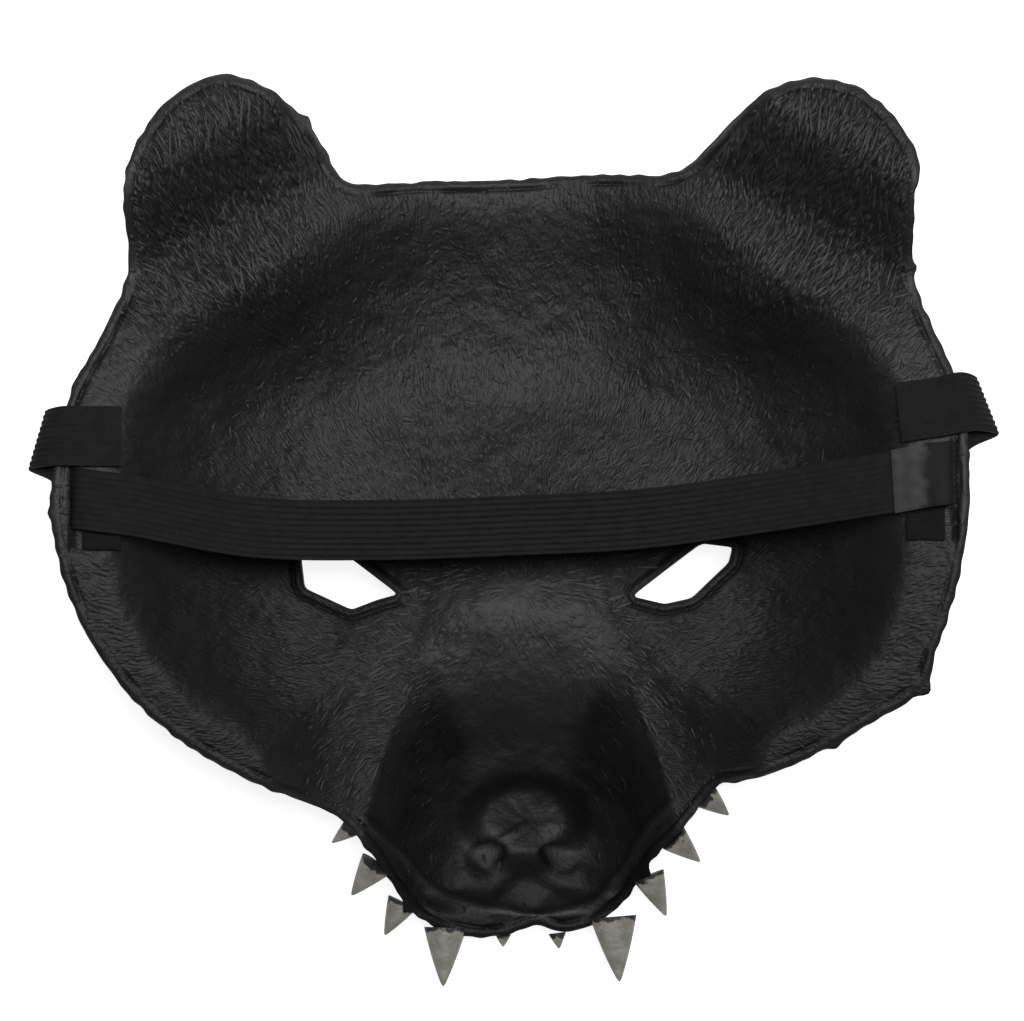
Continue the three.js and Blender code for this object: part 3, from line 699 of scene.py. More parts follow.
RIM_LOOP = ragged(counter_clockwise(resample(OUTLINE_LOOP, 0.95)))
EYE_RIMS = [counter_clockwise(resample(loop, 0.8)) for loop in EYE_LOOPS]
SLIT_RIMS = [counter_clockwise(resample(loop, 1.0)) for loop in SLIT_LOOPS]
BORDERS = [RIM_LOOP] + EYE_RIMS + SLIT_RIMS
RIM_RINGS = (0.4, 0.9, 1.5, 2.0, 2.35, 2.6, 2.85, 3.2, 3.8)
EYE_RINGS = (0.4, 0.9, 1.4, 1.85, 2.15, 2.4, 2.7, 3.2, 3.9)
OUTER_RINGS = (0.8, 1.8, 3.0)
OUTER_STEP = 1.8
ROW_SHARE = 0.866
POINT_SCATTER = 0.12
RING_ROOM = 0.6
RING_SLACK = 0.1
SLIT_ROOM = 0.5


def plan_triangles(step, rim_rings, eye_rings):
    """Points and triangles over the mask's plan, with rows of points along its edges."""
    kept = [np.vstack(BORDERS)]
    for ring in rim_rings:
        row = RIM_LOOP + left_normals(RIM_LOOP) * ring
        kept.append(row[inside_distance(RIM_LOOP, row) > ring - RING_SLACK])
    for eye in EYE_RIMS:
        for ring in eye_rings:
            row = eye - left_normals(eye) * ring
            kept.append(row[-inside_distance(eye, row) > ring - RING_SLACK])
    xs = np.arange(GRID_X0, GRID_X1, step)
    ys = np.arange(GRID_Y0, GRID_Y1, step * ROW_SHARE)
    gx, gy = np.meshgrid(xs, ys)
    gx = gx + 0.5 * step * (np.arange(len(ys)) % 2)[:, None]
    inner = np.stack([gx.ravel(), gy.ravel()], 1)
    inner += np.random.default_rng(2).uniform(-POINT_SCATTER, POINT_SCATTER, inner.shape) * step
    inner = inner[inside_distance(RIM_LOOP, inner) > rim_rings[-1] + RING_ROOM * step]
    for eye in EYE_RIMS:
        inner = inner[-inside_distance(eye, inner) > eye_rings[-1] + RING_ROOM * step]
    points = np.vstack(kept + [inner])
    for slit in SLIT_RIMS:
        border = np.arange(len(points)) < len(kept[0])
        points = points[border | (-inside_distance(slit, points) > SLIT_ROOM)]
    edges = []
    start = 0
    for border in BORDERS:
        count = len(border)
        edges += [(start + k, start + (k + 1) % count) for k in range(count)]
        start += count
    found = delaunay_2d_cdt([Vector(p) for p in points.tolist()], edges, [], 0, 1e-5)
    plan = np.array([tuple(v) for v in found[0]])
    triangles = np.array(found[2])
    middles = plan[triangles].mean(1)
    keep = inside_distance(RIM_LOOP, middles) > 0
    for hole in BORDERS[1:]:
        keep &= inside_distance(hole, middles) < 0
    triangles = triangles[keep]
    first, second, third = (plan[triangles[:, k]] for k in range(3))
    side, other = second - first, third - first
    turned = side[:, 0] * other[:, 1] - side[:, 1] * other[:, 0] < 0
    triangles[turned] = triangles[turned][:, ::-1]
    return plan, triangles


def mark(distance, row):
    """Raised or sunk line; the row is its distance, height and spread."""
    at, height, spread = row
    return height * bell(distance - at, spread)


def inner_detail(plan, rim):
    """Relief of the inner side over its base height: cut edge, eye borders, nose, lip and unevenness."""
    lumps = from_grid(LUMPS, plan)
    relief = LUMP_HEIGHT * lumps * smooth(rim / LUMP_RUN)
    border = inside_distance(OUTLINE_LOOP, plan)
    groove = np.clip(GROOVE_SHARE + GROOVE_UNEVEN * lumps, GROOVE_LEAST, 1.0)
    relief += groove * mark(border, RIM_GROOVE) - EDGE_DROP * smooth(1 - rim / RIM_EDGE)
    relief += mark(border, RIM_BEAD)
    for x, low, high in SLIT_LINES:
        relief += mark(stroke_distance([(x, low), (x, high)], plan), SLIT_CUT)
    for eye in EYE_RIMS:
        out = -inside_distance(eye, plan)
        relief += mark(out, EYE_BEAD) + mark(out, EYE_GROOVE) - EDGE_DROP * smooth(1 - out / EYE_EDGE)
    inward = smooth((WRINKLE_X - plan[:, 0]) / WRINKLE_X_RUN)
    corner = inward * smooth((WRINKLE_Y - plan[:, 1]) / WRINKLE_Y_RUN)
    from_right_eye = out
    for wrinkle in EYE_WRINKLES:
        relief += mark(from_right_eye, wrinkle) * corner
    relief += mark(stroke_distance(NOSE_CREASE, plan), NOSE_CREASE_MARK)
    for lobe in NOSE_LOBES:
        level = from_grid(BASE_HEIGHT, np.array([lobe]))[0]
        away = np.linalg.norm((plan - lobe) * LOBE_SQUASH, axis=1)
        share = LOBE_SHARE * smooth((LOBE_RADIUS - away) / LOBE_RUN)
        relief += (level - from_grid(BASE_HEIGHT, plan)) * share
    relief += mark(stroke_distance(PHILTRUM_RIDGE, plan), PHILTRUM_MARK)
    relief += mark(np.linalg.norm((plan - PHILTRUM_PIT) * PIT_SQUASH, axis=1), PIT_MARK)
    relief += mark(stroke_distance(LIP_LINE, plan), LIP_MARK)
    return relief


def skin_normals(height, plan):
    slope_y, slope_x = np.gradient(height, GRID_STEP)
    normals = np.stack([-from_grid(slope_x, plan), -from_grid(slope_y, plan), np.ones(len(plan))], 1)
    return unit(normals)


def make_shell():
    """The moulded shell: its inner and outer sides, joined along the borders."""
    plan, inner = plan_triangles(0.86, RIM_RINGS, EYE_RINGS)
    base, muzzle = inner_skin(plan)
    rim = inside_distance(RIM_LOOP, plan)
    lift = inner_detail(plan, rim) + GRAIN_HEIGHT * from_grid(GRAIN, plan) * smooth(rim)
    top = np.column_stack([plan, base]) + skin_normals(BASE_HEIGHT, plan) * lift[:, None]
    edge_count = sum(len(border) for border in BORDERS)
    top[:edge_count, :2] = plan[:edge_count]

    under_plan, outer = plan_triangles(OUTER_STEP, OUTER_RINGS, OUTER_RINGS)
    under = np.column_stack([under_plan, from_grid(OUTER_HEIGHT, under_plan)])
    offset = len(top)
    faces = inner.tolist() + (outer[:, ::-1] + offset).tolist()
    start = 0
    for border in BORDERS:
        count = len(border)
        for k in range(count):
            a, b = start + k, start + (k + 1) % count
            faces.append((a, a + offset, b + offset, b))
        start += count
    shell = add_mesh("moulded_shell", np.vstack([top, under]), faces, 55)
    combed = (0.2 + 0.8 * ear_share(plan)) * (1 - np.minimum(muzzle * 2, 1)) * smooth((rim - 1) / 3)
    # The painted shade and sheen mask goes on the shell's inner side.
    looks = {"dull": dullness(plan, muzzle), "combed": combed, "fur_lane": fur_lanes(plan)}
    for label, values in looks.items():
        put(shell, label, np.concatenate([values, np.zeros((len(under), *values.shape[1:]))]))
    return shell


def ear_share(plan):
    beside = smooth((np.abs(plan[:, 0]) - EAR_FUR_X) / EAR_FUR_X_RUN)
    return beside * smooth((plan[:, 1] - EAR_FUR_Y) / EAR_FUR_Y_RUN)


def dullness(plan, muzzle):
    """Painted shade as lost gloss on the muzzle's walls, round the nose and lip and on the cheeks; below 0 it
    is painted sheen and highlight.
    """
    x, y = plan[:, 0], plan[:, 1]
    half_floor = PAINTED_SHADE_HALF_WIDTH * (1 + smooth((y - WIDEN_Y) / WIDEN_RUN))
    beside = smooth((np.abs(x - MIDLINE) - half_floor) / PAINTED_SHADE_HALF_WIDTH)
    walls = beside * smooth((PAINTED_SHADE_Y - y) / PAINTED_SHADE_RUN)
    nose = PAINTED_SHADE_NOSE * smooth((PAINTED_SHADE_NOSE_Y - y) / PAINTED_SHADE_RUN) + PAINTED_SHADE_LIP * smooth((PAINTED_SHADE_LIP_Y - y) / PAINTED_SHADE_SHEEN_RUN)
    floor = (1 - beside) * smooth((PAINTED_SHADE_Y - y) / PAINTED_SHADE_SHEEN_RUN) * smooth((y - PAINTED_SHEEN_FLOOR_END_Y) / PAINTED_SHADE_SHEEN_RUN)
    cheeks = smooth((np.abs(x) - CHEEK_X) / CHEEK_RUN) * smooth((CHEEK_TOP_Y - y) / CHEEK_RUN)
    crease = bell(stroke_distance(LIP_LINE, plan), PAINTED_HIGHLIGHT_CREASE_SPREAD)
    # The muzzle's painted shade, less the painted sheen on its floor and the painted highlight along the
    # lip's crease.
    deep = np.minimum(muzzle * 2, 1) * (np.maximum(walls, nose) - PAINTED_SHEEN_FLOOR * floor - PAINTED_HIGHLIGHT_CREASE * crease)
    return deep + PAINTED_SHADE_CHEEKS * cheeks - SHINE_ALL - PAINTED_SHEEN_EARS * ear_share(plan)


def steepness(up):
    return smooth((STEEP_UP - up[:, 2]) / STEEP_RUN)


def make_roots(name, plan, heights, up, **values):
    roots = add_mesh(name, np.column_stack([plan, heights]), [])
    put(roots, "up", up)
    put(roots, "flow", fur_flow(plan))
    for label, numbers in values.items():
        put(roots, label, numbers)
    return roots


def make_inner_roots(pitch, step):
    """Points that the strokes of the inner side grow from, with each stroke's share of the usual size."""
    plan, random = fur_places(pitch, step, 3)
    muzzle = inner_skin(plan)[1]
    furred = 1 - 0.9 * muzzle * smooth((FUR_END_Y - plan[:, 1]) / FUR_END_RUN)
    for eye in EYE_RIMS:
        furred *= smooth((-inside_distance(eye, plan) - EYE_CLEAR) / EYE_CLEAR_RUN)
    for x, low, high in SLIT_LINES:
        beside = line_distance(np.array([(x, low)]), np.array([(x, high)]), plan)
        furred *= smooth((beside - SLIT_CLEAR) / SLIT_CLEAR_RUN)
    furred *= 1 - STEEP_BARE * steepness(skin_normals(BASE_HEIGHT, plan))
    plan = plan[random.random(len(plan)) < furred]
    base, muzzle = inner_skin(plan)
    rim = inside_distance(RIM_LOOP, plan)
    up = skin_normals(BASE_HEIGHT, plan)
    ears = ear_share(plan)
    forehead = smooth((plan[:, 1] - FOREHEAD_Y) / FOREHEAD_RUN) * (1 - ears)
    crest = bell(edge_share(plan) - 1, CREST_SPREAD)
    near_rim = 1 - smooth((rim - SHORT_RIM) / SHORT_RIM_RUN)
    height = 0.7 + 0.5 * ears - 0.1 * forehead - 0.3 * muzzle - 0.2 * crest
    length = 1.0 + 0.3 * ears - 0.3 * forehead - 0.4 * crest
    return make_roots(
        "inner_roots",
        plan,
        base + inner_detail(plan, rim),
        up,
        # The strokes carry the same painted shade and sheen.
        dull=dullness(plan, muzzle),
        height=height * (1 - STEEP_FLAT * steepness(up)),
        length=length * (1 - SHORT_SHARE * near_rim),
        loose=LOOSE_LEAST + (1 - LOOSE_LEAST) * forehead,
    )


def make_outer_roots(pitch, step):
    """Points that the strokes of the outer side grow from."""
    plan, random = fur_places(pitch, step, 4)
    heights = from_grid(OUTER_HEIGHT, plan)
    furred = smooth((heights - FLOOR_CLEAR) / FLOOR_CLEAR_RUN)
    for clear in (inside_distance(RIM_LOOP, plan), *(-inside_distance(eye, plan) for eye in EYE_RIMS)):
        furred *= smooth((clear - OUTER_CLEAR) / OUTER_CLEAR_RUN)
    nose = bell(plan[:, 0] - NOSE_X, BARE_NOSE_X) * bell(plan[:, 1] - NOSE_Y, BARE_NOSE_Y)
    keep = random.random(len(plan)) < furred * (1 - np.minimum(BARE_NOSE_SHARE * nose, 1))
    same = np.ones(keep.sum())
    up = -skin_normals(OUTER_HEIGHT, plan[keep])
    return make_roots("outer_roots", plan[keep], heights[keep], up, height=same, length=same, loose=same)


def ribbon_grid(first, last, steps, columns, width, lift):
    places = np.linspace(first, last, steps + 1)
    table = np.asarray(STRAP, float)
    middle = curve_points(table[:, :3], places, False)
    ahead = curve_points(table[:, :3], np.clip(places + 0.01, 0, len(STRAP) - 1), False)
    behind = curve_points(table[:, :3], np.clip(places - 0.01, 0, len(STRAP) - 1), False)
    along = ahead - behind
    lean = spline(table[:, 3], places)
    slant = spline(table[:, 4], places)
    across = unit(np.column_stack([slant, np.ones(len(places)), lean]))
    up = unit(np.cross(along, across))
    sides = np.linspace(-0.5, 0.5, columns + 1) * width
    grid = middle[:, None] + up[:, None] * lift + across[:, None] * sides[None, :, None]
    return grid, np.repeat(up[:, None], columns + 1, 1), distance_along(middle)


def slab_from_grid(name, grid, up, thickness):
    """Closed sheet about a grid of points, thinner at its border."""
    rows, columns = grid.shape[:2]
    half = np.full((rows, columns, 1), thickness / 2)
    half[[0, -1]] *= 0.6
    half[:, [0, -1]] *= 0.6
    top = (grid + up * half).reshape(-1, 3)
    low = (grid - up * half).reshape(-1, 3)
    count = rows * columns
    faces = []
    for r in range(rows - 1):
        for c in range(columns - 1):
            a = r * columns + c
            b = a + columns
            faces += [(a, b, b + 1, a + 1), (count + a + 1, count + b + 1, count + b, count + a)]
    last = columns - 1
    edge = list(range(last))
    edge += [r * columns + last for r in range(rows - 1)]
    edge += [(rows - 1) * columns + c for c in range(last, 0, -1)]
    edge += [r * columns for r in range(rows - 1, 0, -1)]
    for k, a in enumerate(edge):
        b = edge[(k + 1) % len(edge)]
        faces.append((a, b, count + b, count + a))
    return add_mesh(name, np.vstack([top, low]), faces, 60)


def make_strap():
    columns = 60
    grid, up, distance = ribbon_grid(0, len(STRAP) - 1, 420, columns, STRAP_WIDTH, 0.0)
    strap = slab_from_grid("elastic_strap", grid, up, STRAP_THICKNESS)
    side = np.tile(np.linspace(0, 1, columns + 1), len(distance))
    along = np.repeat(distance, columns + 1)
    out = up.reshape(-1, 3)
    put(strap, "outward", np.vstack([out, -out]))
    put(strap, "side", np.concatenate([side, side]))
    put(strap, "along", np.concatenate([along, along]) * MM)
    return strap


def make_tape():
    lift = STRAP_THICKNESS / 2 + GAP + TAPE_THICKNESS / 2
    grid, up, _ = ribbon_grid(TAPE_FROM, TAPE_TO, 30, 30, TAPE_WIDTH, lift)
    noise = from_grid(blurred_noise(12, 9), grid[..., :2].reshape(-1, 2)).reshape(grid.shape[:2])
    crumple = np.clip(0.08 * noise, -0.15, 0.3)[..., None]
    return slab_from_grid("strap_tape_grey", grid + up * crumple, up, TAPE_THICKNESS)


def make_patch(name, x0, x1, y0, y1):
    gx, gy = np.meshgrid(np.linspace(x0, x1, 21), np.linspace(y0, y1, 27))
    plan = np.stack([gx.ravel(), gy.ravel()], 1)
    height = flange(gx, gy) + GAP + PATCH_THICKNESS / 2
    height += 0.12 * from_grid(blurred_noise(10, 6), plan).reshape(gx.shape)
    up = np.zeros((*gx.shape, 3))
    up[..., 2] = 1.0
    return slab_from_grid(name, np.stack([gx, gy, height], 2)[:, ::-1], up, PATCH_THICKNESS)


def make_tooth(row):
    node, gum_x, gum_y, tip_x, tip_y, rise, width, thick = row
    gum = np.array([[gum_x, gum_y]])
    middle = (from_grid(BASE_HEIGHT, gum)[0] + from_grid(OUTER_HEIGHT, gum)[0]) / 2
    tip = np.array([tip_x, tip_y, middle + rise])
    root = np.array([gum_x, gum_y, middle])
    axis = tip - root
    length = np.linalg.norm(axis)
    across = np.array([-axis[1], axis[0], 0.0])
    across /= np.linalg.norm(across)
    up = np.cross(axis, across)
    up /= np.linalg.norm(up)
    rings, sides = 22, 28
    vertices, faces, share = [], [], []
    for ring in range(rings):
        t = ring / rings
        full = (t * length + TOOTH_ROOT) / (length + TOOTH_ROOT) * TOOTH_FULL
        taper = (1 - full ** TOOTH_BULGE) ** TOOTH_TAPER
        for k in range(sides):
            turn = k / sides * 2 * math.pi
            out = across * math.cos(turn) * width / 2 + up * math.sin(turn) * thick / 2
            vertices.append(root + axis * t + out * taper)
            share.append(t * length)
    vertices += [root, tip]
    share += [0.0, length]
    for k in range(sides):
        nxt = (k + 1) % sides
        for ring in range(rings - 1):
            a = ring * sides
            faces.append((a + k, a + nxt, a + sides + nxt, a + sides + k))
        top = (rings - 1) * sides
        faces += [(len(vertices) - 2, nxt, k), (top + k, top + nxt, len(vertices) - 1)]
    tooth = add_mesh(node + "_ivory", vertices, faces, 50)
    put(tooth, "from_gum", np.array(share))
    return tooth


# Node trees for what repeats

def geometry_tree(name, inputs):
    tree = bpy.data.node_groups.new(name, "GeometryNodeTree")
    tree.interface.new_socket("Geometry", in_out="INPUT", socket_type="NodeSocketGeometry")
    for label, kind in inputs:
        tree.interface.new_socket(label, in_out="INPUT", socket_type="NodeSocket" + kind)
    tree.interface.new_socket("Geometry", in_out="OUTPUT", socket_type="NodeSocketGeometry")
    return tree, tree.nodes.new("NodeGroupInput").outputs


def add_node(tree, kind, inputs=(), **settings):
    """New node with its settings; each input is a (socket, value or output) pair."""
    node = tree.nodes.new(kind)
    for name, value in settings.items():
        setattr(node, name, value)
    for socket, value in inputs:
        if isinstance(value, bpy.types.NodeSocket):
            tree.links.new(value, node.inputs[socket])
        else:
            node.inputs[socket].default_value = value
    return node


def sums(tree, operation, first, second):
    return add_node(tree, "ShaderNodeMath", [(0, first), (1, second)], operation=operation).outputs[0]


def named_attribute(tree, name, kind):
    node = add_node(tree, "GeometryNodeInputNamedAttribute", [("Name", name)], data_type=kind)
    return node.outputs["Attribute"]


def finish_tree(tree, given, geometry):
    real = add_node(tree, "GeometryNodeRealizeInstances", [("Geometry", geometry)]).outputs[0]
    dressed = add_node(tree, "GeometryNodeSetMaterial", [("Geometry", real), ("Material", given["Finish"])])
    tree.links.new(dressed.outputs[0], tree.nodes.new("NodeGroupOutput").inputs[0])


def stroke_tree():
    """Strokes of fur set on points of the shell along its flow."""
    sizes = [(name, "Float") for name in ("Length", "Width", "Height", "Turn")]
    tree, given = geometry_tree(
        "fur_strokes", [("Stroke", "Object"), *sizes, ("Seed", "Int"), ("Finish", "Material")]
    )
    roots = add_node(tree, "GeometryNodeMeshToPoints", [("Mesh", given["Geometry"])])

    def chance(low, high, seed):
        seeds = sums(tree, "ADD", given["Seed"], seed)
        limits = [(2, low), (3, high), ("Seed", seeds)]
        return add_node(tree, "FunctionNodeRandomValue", limits, data_type="FLOAT").outputs[1]

    up = named_attribute(tree, "up", "FLOAT_VECTOR")
    stood = add_node(tree, "FunctionNodeAlignRotationToVector", [("Vector", up)], axis="Z")
    flow = named_attribute(tree, "flow", "FLOAT_VECTOR")
    ways = [("Rotation", stood.outputs[0]), ("Vector", flow)]
    laid = add_node(tree, "FunctionNodeAlignRotationToVector", ways, axis="X", pivot_axis="Z")
    loose = sums(tree, "MULTIPLY", named_attribute(tree, "loose", "FLOAT"), given["Turn"])
    angle = sums(tree, "MULTIPLY", chance(-1.0, 1.0, 1), loose)
    turn = add_node(tree, "FunctionNodeAxisAngleToRotation", [("Axis", (0.0, 0.0, 1.0)), ("Angle", angle)])
    turns = [("Rotation", laid.outputs[0]), ("Rotate By", turn.outputs[0])]
    turned = add_node(tree, "FunctionNodeRotateRotation", turns, rotation_space="LOCAL")
    height = sums(tree, "MULTIPLY", given["Height"], named_attribute(tree, "height", "FLOAT"))
    length = sums(tree, "MULTIPLY", given["Length"], named_attribute(tree, "length", "FLOAT"))
    sides = [
        (0, sums(tree, "MULTIPLY", length, chance(0.5, 1.5, 2))),
        (1, sums(tree, "MULTIPLY", given["Width"], chance(0.75, 1.25, 3))),
        (2, sums(tree, "MULTIPLY", height, chance(0.6, 1.3, 4))),
    ]
    stroke = add_node(tree, "GeometryNodeObjectInfo", [("Object", given["Stroke"])])
    places = [
        ("Points", roots.outputs[0]),
        ("Instance", stroke.outputs["Geometry"]),
        ("Rotation", turned.outputs[0]),
        ("Scale", add_node(tree, "ShaderNodeCombineXYZ", sides).outputs[0]),
    ]
    finish_tree(tree, given, add_node(tree, "GeometryNodeInstanceOnPoints", places).outputs[0])
    return tree


def rib_tree():
    """Lengthwise cords and cross picks of the knit, raised along the strap."""
    tree, given = geometry_tree(
        "knit_ribs", [("Ribs", "Float"), ("Pitch", "Float"), ("Height", "Float"), ("Finish", "Material")]
    )
    side = sums(tree, "MULTIPLY", named_attribute(tree, "side", "FLOAT"), given["Ribs"])
    cords = sums(tree, "COSINE", sums(tree, "MULTIPLY", side, 2 * math.pi), 0.0)
    along = sums(tree, "DIVIDE", named_attribute(tree, "along", "FLOAT"), given["Pitch"])
    picks = sums(tree, "COSINE", sums(tree, "MULTIPLY", along, 2 * math.pi), 0.0)
    weave = sums(tree, "ADD", cords, sums(tree, "MULTIPLY", picks, 0.35))
    rise = sums(tree, "MULTIPLY", weave, given["Height"])
    outward = named_attribute(tree, "outward", "FLOAT_VECTOR")
    offset = add_node(tree, "ShaderNodeVectorMath", [(0, outward), ("Scale", rise)], operation="SCALE")
    raised = add_node(
        tree, "GeometryNodeSetPosition", [("Geometry", given["Geometry"]), ("Offset", offset.outputs[0])]
    )
    finish_tree(tree, given, raised.outputs[0])
    return tree


def grown(name, piece, tree, **values):
    """Plain mesh of a tree applied to a piece."""
    modifier = piece.modifiers.new(tree.name, "NODES")
    modifier.node_group = tree
    for item in tree.interface.items_tree:
        if item.in_out == "INPUT" and item.name in values:
            modifier[item.identifier] = values[item.name]
    piece.update_tag()
    mesh = bpy.data.meshes.new_from_object(piece.evaluated_get(bpy.context.evaluated_depsgraph_get()))
    mesh.name = name
    piece.modifiers.remove(modifier)
    return link_object(name, mesh)


def make_stroke():
    """Unit stroke: a low ridge along X, one long, wide and high."""
    foot = -0.3
    outline = [(-0.5, 0), (-0.15, -0.5), (0.2, -0.45), (0.5, 0), (0.2, 0.45), (-0.15, 0.5)]
    vertices = [(x, y, foot) for x, y in outline]
    vertices += [(-0.2, 0, 1.0), (0.2, 0, 0.85)]
    faces = [(0, 1, 6), (0, 6, 5), (1, 2, 7, 6), (6, 7, 4, 5), (2, 3, 7), (7, 3, 4)]
    return add_mesh("unit_stroke", np.array(vertices) / MM, faces)


# Materials

def soft_noise(tree, scale, detail):
    place = tree.nodes.new("ShaderNodeTexCoord").outputs["Object"]
    node = add_node(tree, "ShaderNodeTexNoise", [("Vector", place), ("Scale", scale), ("Detail", detail)])
    return node.outputs[0]


def ramp(tree, value, low, high):
    """Goes from 0 to 1 as the value goes from low to high."""
    node = add_node(tree, "ShaderNodeMapRange", [("Value", value), ("From Min", low), ("From Max", high)])
    return node.outputs[0]


def mixed(tree, share, first, second):
    colours = [(0, share), (6, first), (7, second)]
    return add_node(tree, "ShaderNodeMix", colours, data_type="RGBA").outputs[2]


def scaled(tree, value, factor, offset):
    terms = [(0, value), (1, factor), (2, offset)]
    return add_node(tree, "ShaderNodeMath", terms, operation="MULTIPLY_ADD").outputs[0]


def attribute(tree, name, output):
    return add_node(tree, "ShaderNodeAttribute", attribute_name=name).outputs[output]


def tone_group():
    """Colour mixed unevenly from two by a soft noise."""
    group = bpy.data.node_groups.new("uneven_tone", "ShaderNodeTree")
    for label, kind in (("Scale", "Float"), ("Dark", "Color"), ("Light", "Color")):
        group.interface.new_socket(label, in_out="INPUT", socket_type="NodeSocket" + kind)
    group.interface.new_socket("Color", in_out="OUTPUT", socket_type="NodeSocketColor")
    given = group.nodes.new("NodeGroupInput").outputs
    share = ramp(group, soft_noise(group, given["Scale"], 3.0), 0.3, 0.7)
    colour = mixed(group, share, given["Dark"], given["Light"])
    group.links.new(colour, group.nodes.new("NodeGroupOutput").inputs[0])
    return group


TONE = tone_group()


def finish_material(name, dark, light, scale, roughness, gloss, grain=None):
    """Uneven finish; grain is the scale and the height of a fine bump."""
    finish = bpy.data.materials.new(name)
    finish.use_nodes = True
    tree = finish.node_tree
    shader = tree.nodes["Principled BSDF"]
    shader.inputs["Roughness"].default_value = roughness
    shader.inputs["Specular IOR Level"].default_value = gloss
    tone = add_node(tree, "ShaderNodeGroup", node_tree=TONE)
    tone.inputs["Scale"].default_value = scale
    tone.inputs["Dark"].default_value = (*dark, 1.0)
    tone.inputs["Light"].default_value = (*light, 1.0)
    tree.links.new(tone.outputs[0], shader.inputs["Base Color"])
    if grain:
        noise = soft_noise(tree, grain[0], 1.0)
        bump = add_node(tree, "ShaderNodeBump", [("Height", noise), ("Distance", grain[1])])
        tree.links.new(bump.outputs[0], shader.inputs["Normal"])
    return finish, tree, shader, tone.outputs[0]


def foam_finish():
    """Black foam skin, finely furrowed along the fur. Painted shade lowers its gloss deep in the muzzle, and
    painted sheen raises it.
    """
    shine = 0.5
    painted_shade_gloss_loss = 0.3
    furrow_depth = 0.0016
    finish, tree, shader, _ = finish_material(
        "black_foam", (0.002, 0.002, 0.0021), (0.006, 0.006, 0.0062), 70.0, 0.61, shine, (850.0, 0.00016)
    )
    lane = attribute(tree, "fur_lane", "Vector")
    furrows = add_node(tree, "ShaderNodeTexNoise", [("Vector", lane), ("Scale", 1.0), ("Detail", 1.0)])
    depth = sums(tree, "MULTIPLY", furrows.outputs[0], attribute(tree, "combed", "Fac"))
    grain = shader.inputs["Normal"].links[0].from_socket
    bump = [("Height", depth), ("Distance", furrow_depth), ("Normal", grain)]
    tree.links.new(add_node(tree, "ShaderNodeBump", bump).outputs[0], shader.inputs["Normal"])
    # Painted shade lowers the gloss and painted sheen raises it.
    gloss = scaled(tree, attribute(tree, "dull", "Fac"), -painted_shade_gloss_loss, shine)
    tree.links.new(gloss, shader.inputs["Specular IOR Level"])
    return finish


def tape_finish():
    """Grey tape, with painted shade that makes its outer half darker and duller."""
    shine = 0.3
    painted_shade_gloss_loss = 0.2
    painted_shade_from = 0.1015
    painted_shade_to = 0.104
    unevenness = 0.006
    painted_shade_tone = (0.009, 0.009, 0.01, 1)
    finish, tree, shader, tone = finish_material(
        "grey_tape", (0.018, 0.019, 0.02), (0.036, 0.037, 0.039), 300.0, 0.6, shine
    )
    place = tree.nodes.new("ShaderNodeTexCoord").outputs["Object"]
    across = add_node(tree, "ShaderNodeSeparateXYZ", [("Vector", place)]).outputs["X"]
    edge = scaled(tree, soft_noise(tree, 260.0, 2.0), unevenness, across)
    # Painted shade over the tape's outer half, with an uneven edge.
    painted_shade_share = ramp(tree, edge, painted_shade_from, painted_shade_to)
    tree.links.new(mixed(tree, painted_shade_share, tone, painted_shade_tone), shader.inputs["Base Color"])
    tree.links.new(scaled(tree, painted_shade_share, -painted_shade_gloss_loss, shine), shader.inputs["Specular IOR Level"])
    return finish


def ivory_finish():
    """Dull ivory, flaked dark at the gum."""
    flake_reach = 5.0
    flake_start = -1.4
    flake_edge = 0.3
    flake_tone = (0.012, 0.012, 0.012, 1)
    finish, tree, shader, tone = finish_material(
        "dull_ivory", (0.17, 0.16, 0.145), (0.3, 0.285, 0.255), 260.0, 0.55, 0.5, (900.0, 0.0002)
    )
    reach = scaled(tree, soft_noise(tree, 420.0, 2.0), flake_reach, flake_start)
    clear = sums(tree, "SUBTRACT", attribute(tree, "from_gum", "Fac"), reach)
    share = ramp(tree, clear, -flake_edge, flake_edge)
    tree.links.new(mixed(tree, share, flake_tone, tone), shader.inputs["Base Color"])
    return finish


def elastic_finish(name, dark, light, roughness, gloss):
    return finish_material(name, dark, light, 300.0, roughness, gloss, (1600.0, 0.00012))[0]


FOAM = foam_finish()
ELASTIC = elastic_finish("black_elastic", (0.006, 0.006, 0.0065), (0.0105, 0.0105, 0.011), 0.8, 0.23)
PATCH = elastic_finish("dull_elastic", (0.0045, 0.0045, 0.0048), (0.008, 0.008, 0.0084), 0.85, 0.18)
TAPE = tape_finish()
IVORY = ivory_finish()

settle(make_shell(), "foam", FOAM, "shell")
inner_roots = make_inner_roots(1.7, 4.0)
outer_roots = make_outer_roots(2.2, 6.5)
STROKE = make_stroke()
STROKES = stroke_tree()
inner_fur = grown(
    "inner_fur", inner_roots, STROKES, Stroke=STROKE,
    Length=4.8 * MM, Width=1.0 * MM, Height=0.42 * MM, Turn=1.2, Seed=3, Finish=FOAM,
)
outer_fur = grown(
    "outer_fur", outer_roots, STROKES, Stroke=STROKE,
    Length=10.0 * MM, Width=2.2 * MM, Height=0.7 * MM, Turn=0.3, Seed=4, Finish=FOAM,
)
settle(inner_fur, "foam", FOAM, "shell")
settle(outer_fur, "foam", FOAM, "shell")
plain_strap = make_strap()
knit_strap = grown(
    "knit_strap", plain_strap, rib_tree(), Ribs=10.0, Pitch=1.1 * MM, Height=0.14 * MM, Finish=ELASTIC
)
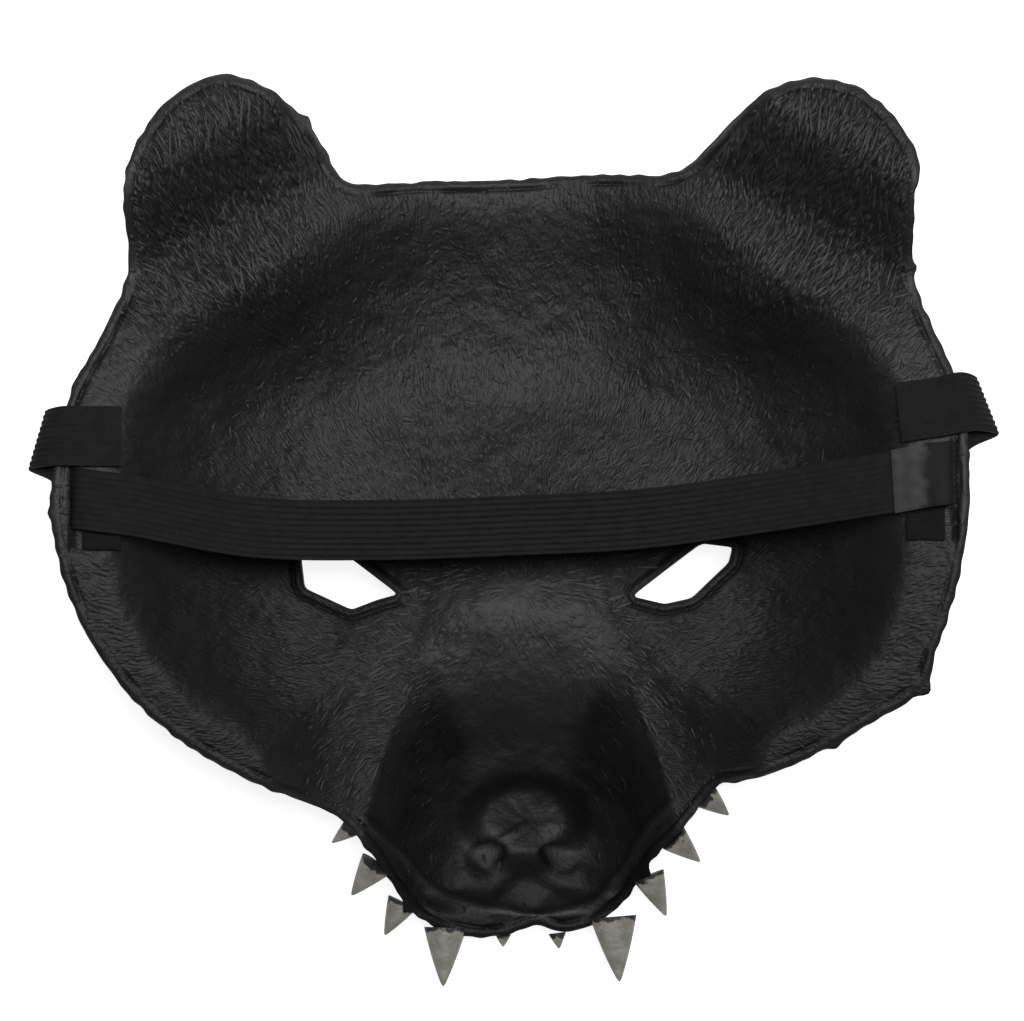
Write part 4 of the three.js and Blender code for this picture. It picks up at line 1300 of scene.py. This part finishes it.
settle(knit_strap, "elastic", ELASTIC, "head_strap")
for helper in (inner_roots, outer_roots, STROKE, plain_strap):
    bpy.data.objects.remove(helper)
for patch_name, patch_node, *patch_sides in PATCHES:
    settle(make_patch(patch_name, *patch_sides), "elastic", PATCH, patch_node)
settle(make_tape(), "tape", TAPE, "strap_tape")
for tooth_row in TEETH:
    settle(make_tooth(tooth_row), "tooth", IVORY, tooth_row[0])


# Floor, light and camera

def make_stage():
    size = 3.0
    mesh = bpy.data.meshes.new("floor")
    corners = [(-size, -size, 0), (size, -size, 0), (size, size, 0), (-size, size, 0)]
    mesh.from_pydata(corners, [], [(0, 1, 2, 3)])
    floor = link_object("floor", mesh)
    finish = bpy.data.materials.new("pale_floor")
    finish.use_nodes = True
    shader = finish.node_tree.nodes["Principled BSDF"]
    shader.inputs["Base Color"].default_value = (0.8, 0.8, 0.8, 1)
    shader.inputs["Roughness"].default_value = 0.9
    shader.inputs["Emission Color"].default_value = (1, 1, 1, 1)
    shader.inputs["Emission Strength"].default_value = 0.85
    mesh.materials.append(finish)


def add_light(name, place, aim, size, power):
    lamp = bpy.data.lights.new(name, "AREA")
    lamp.shape = "DISK"
    lamp.size = size
    lamp.energy = power
    holder = link_object(name, lamp)
    holder.location = place
    holder.rotation_euler = (Vector(aim) - Vector(place)).to_track_quat("-Z", "Y").to_euler()


def make_light():
    world = bpy.data.worlds.new("studio")
    world.use_nodes = True
    world.node_tree.nodes["Background"].inputs["Color"].default_value = (1, 1, 1, 1)
    world.node_tree.nodes["Background"].inputs["Strength"].default_value = 0.03
    bpy.context.scene.world = world
    add_light("key_light", (0.14, 0.32, 1.25), (0, 0, 0.03), 0.6, 14.0)


def make_camera():
    camera = bpy.data.cameras.new("camera")
    camera.lens = 100.0
    camera.sensor_width = 36.0
    holder = link_object("camera", camera)
    holder.location = (-0.0007, 0.006, 0.75)
    bpy.context.scene.camera = holder


make_stage()
make_light()
make_camera()
bpy.context.scene.view_settings.view_transform = "Standard"
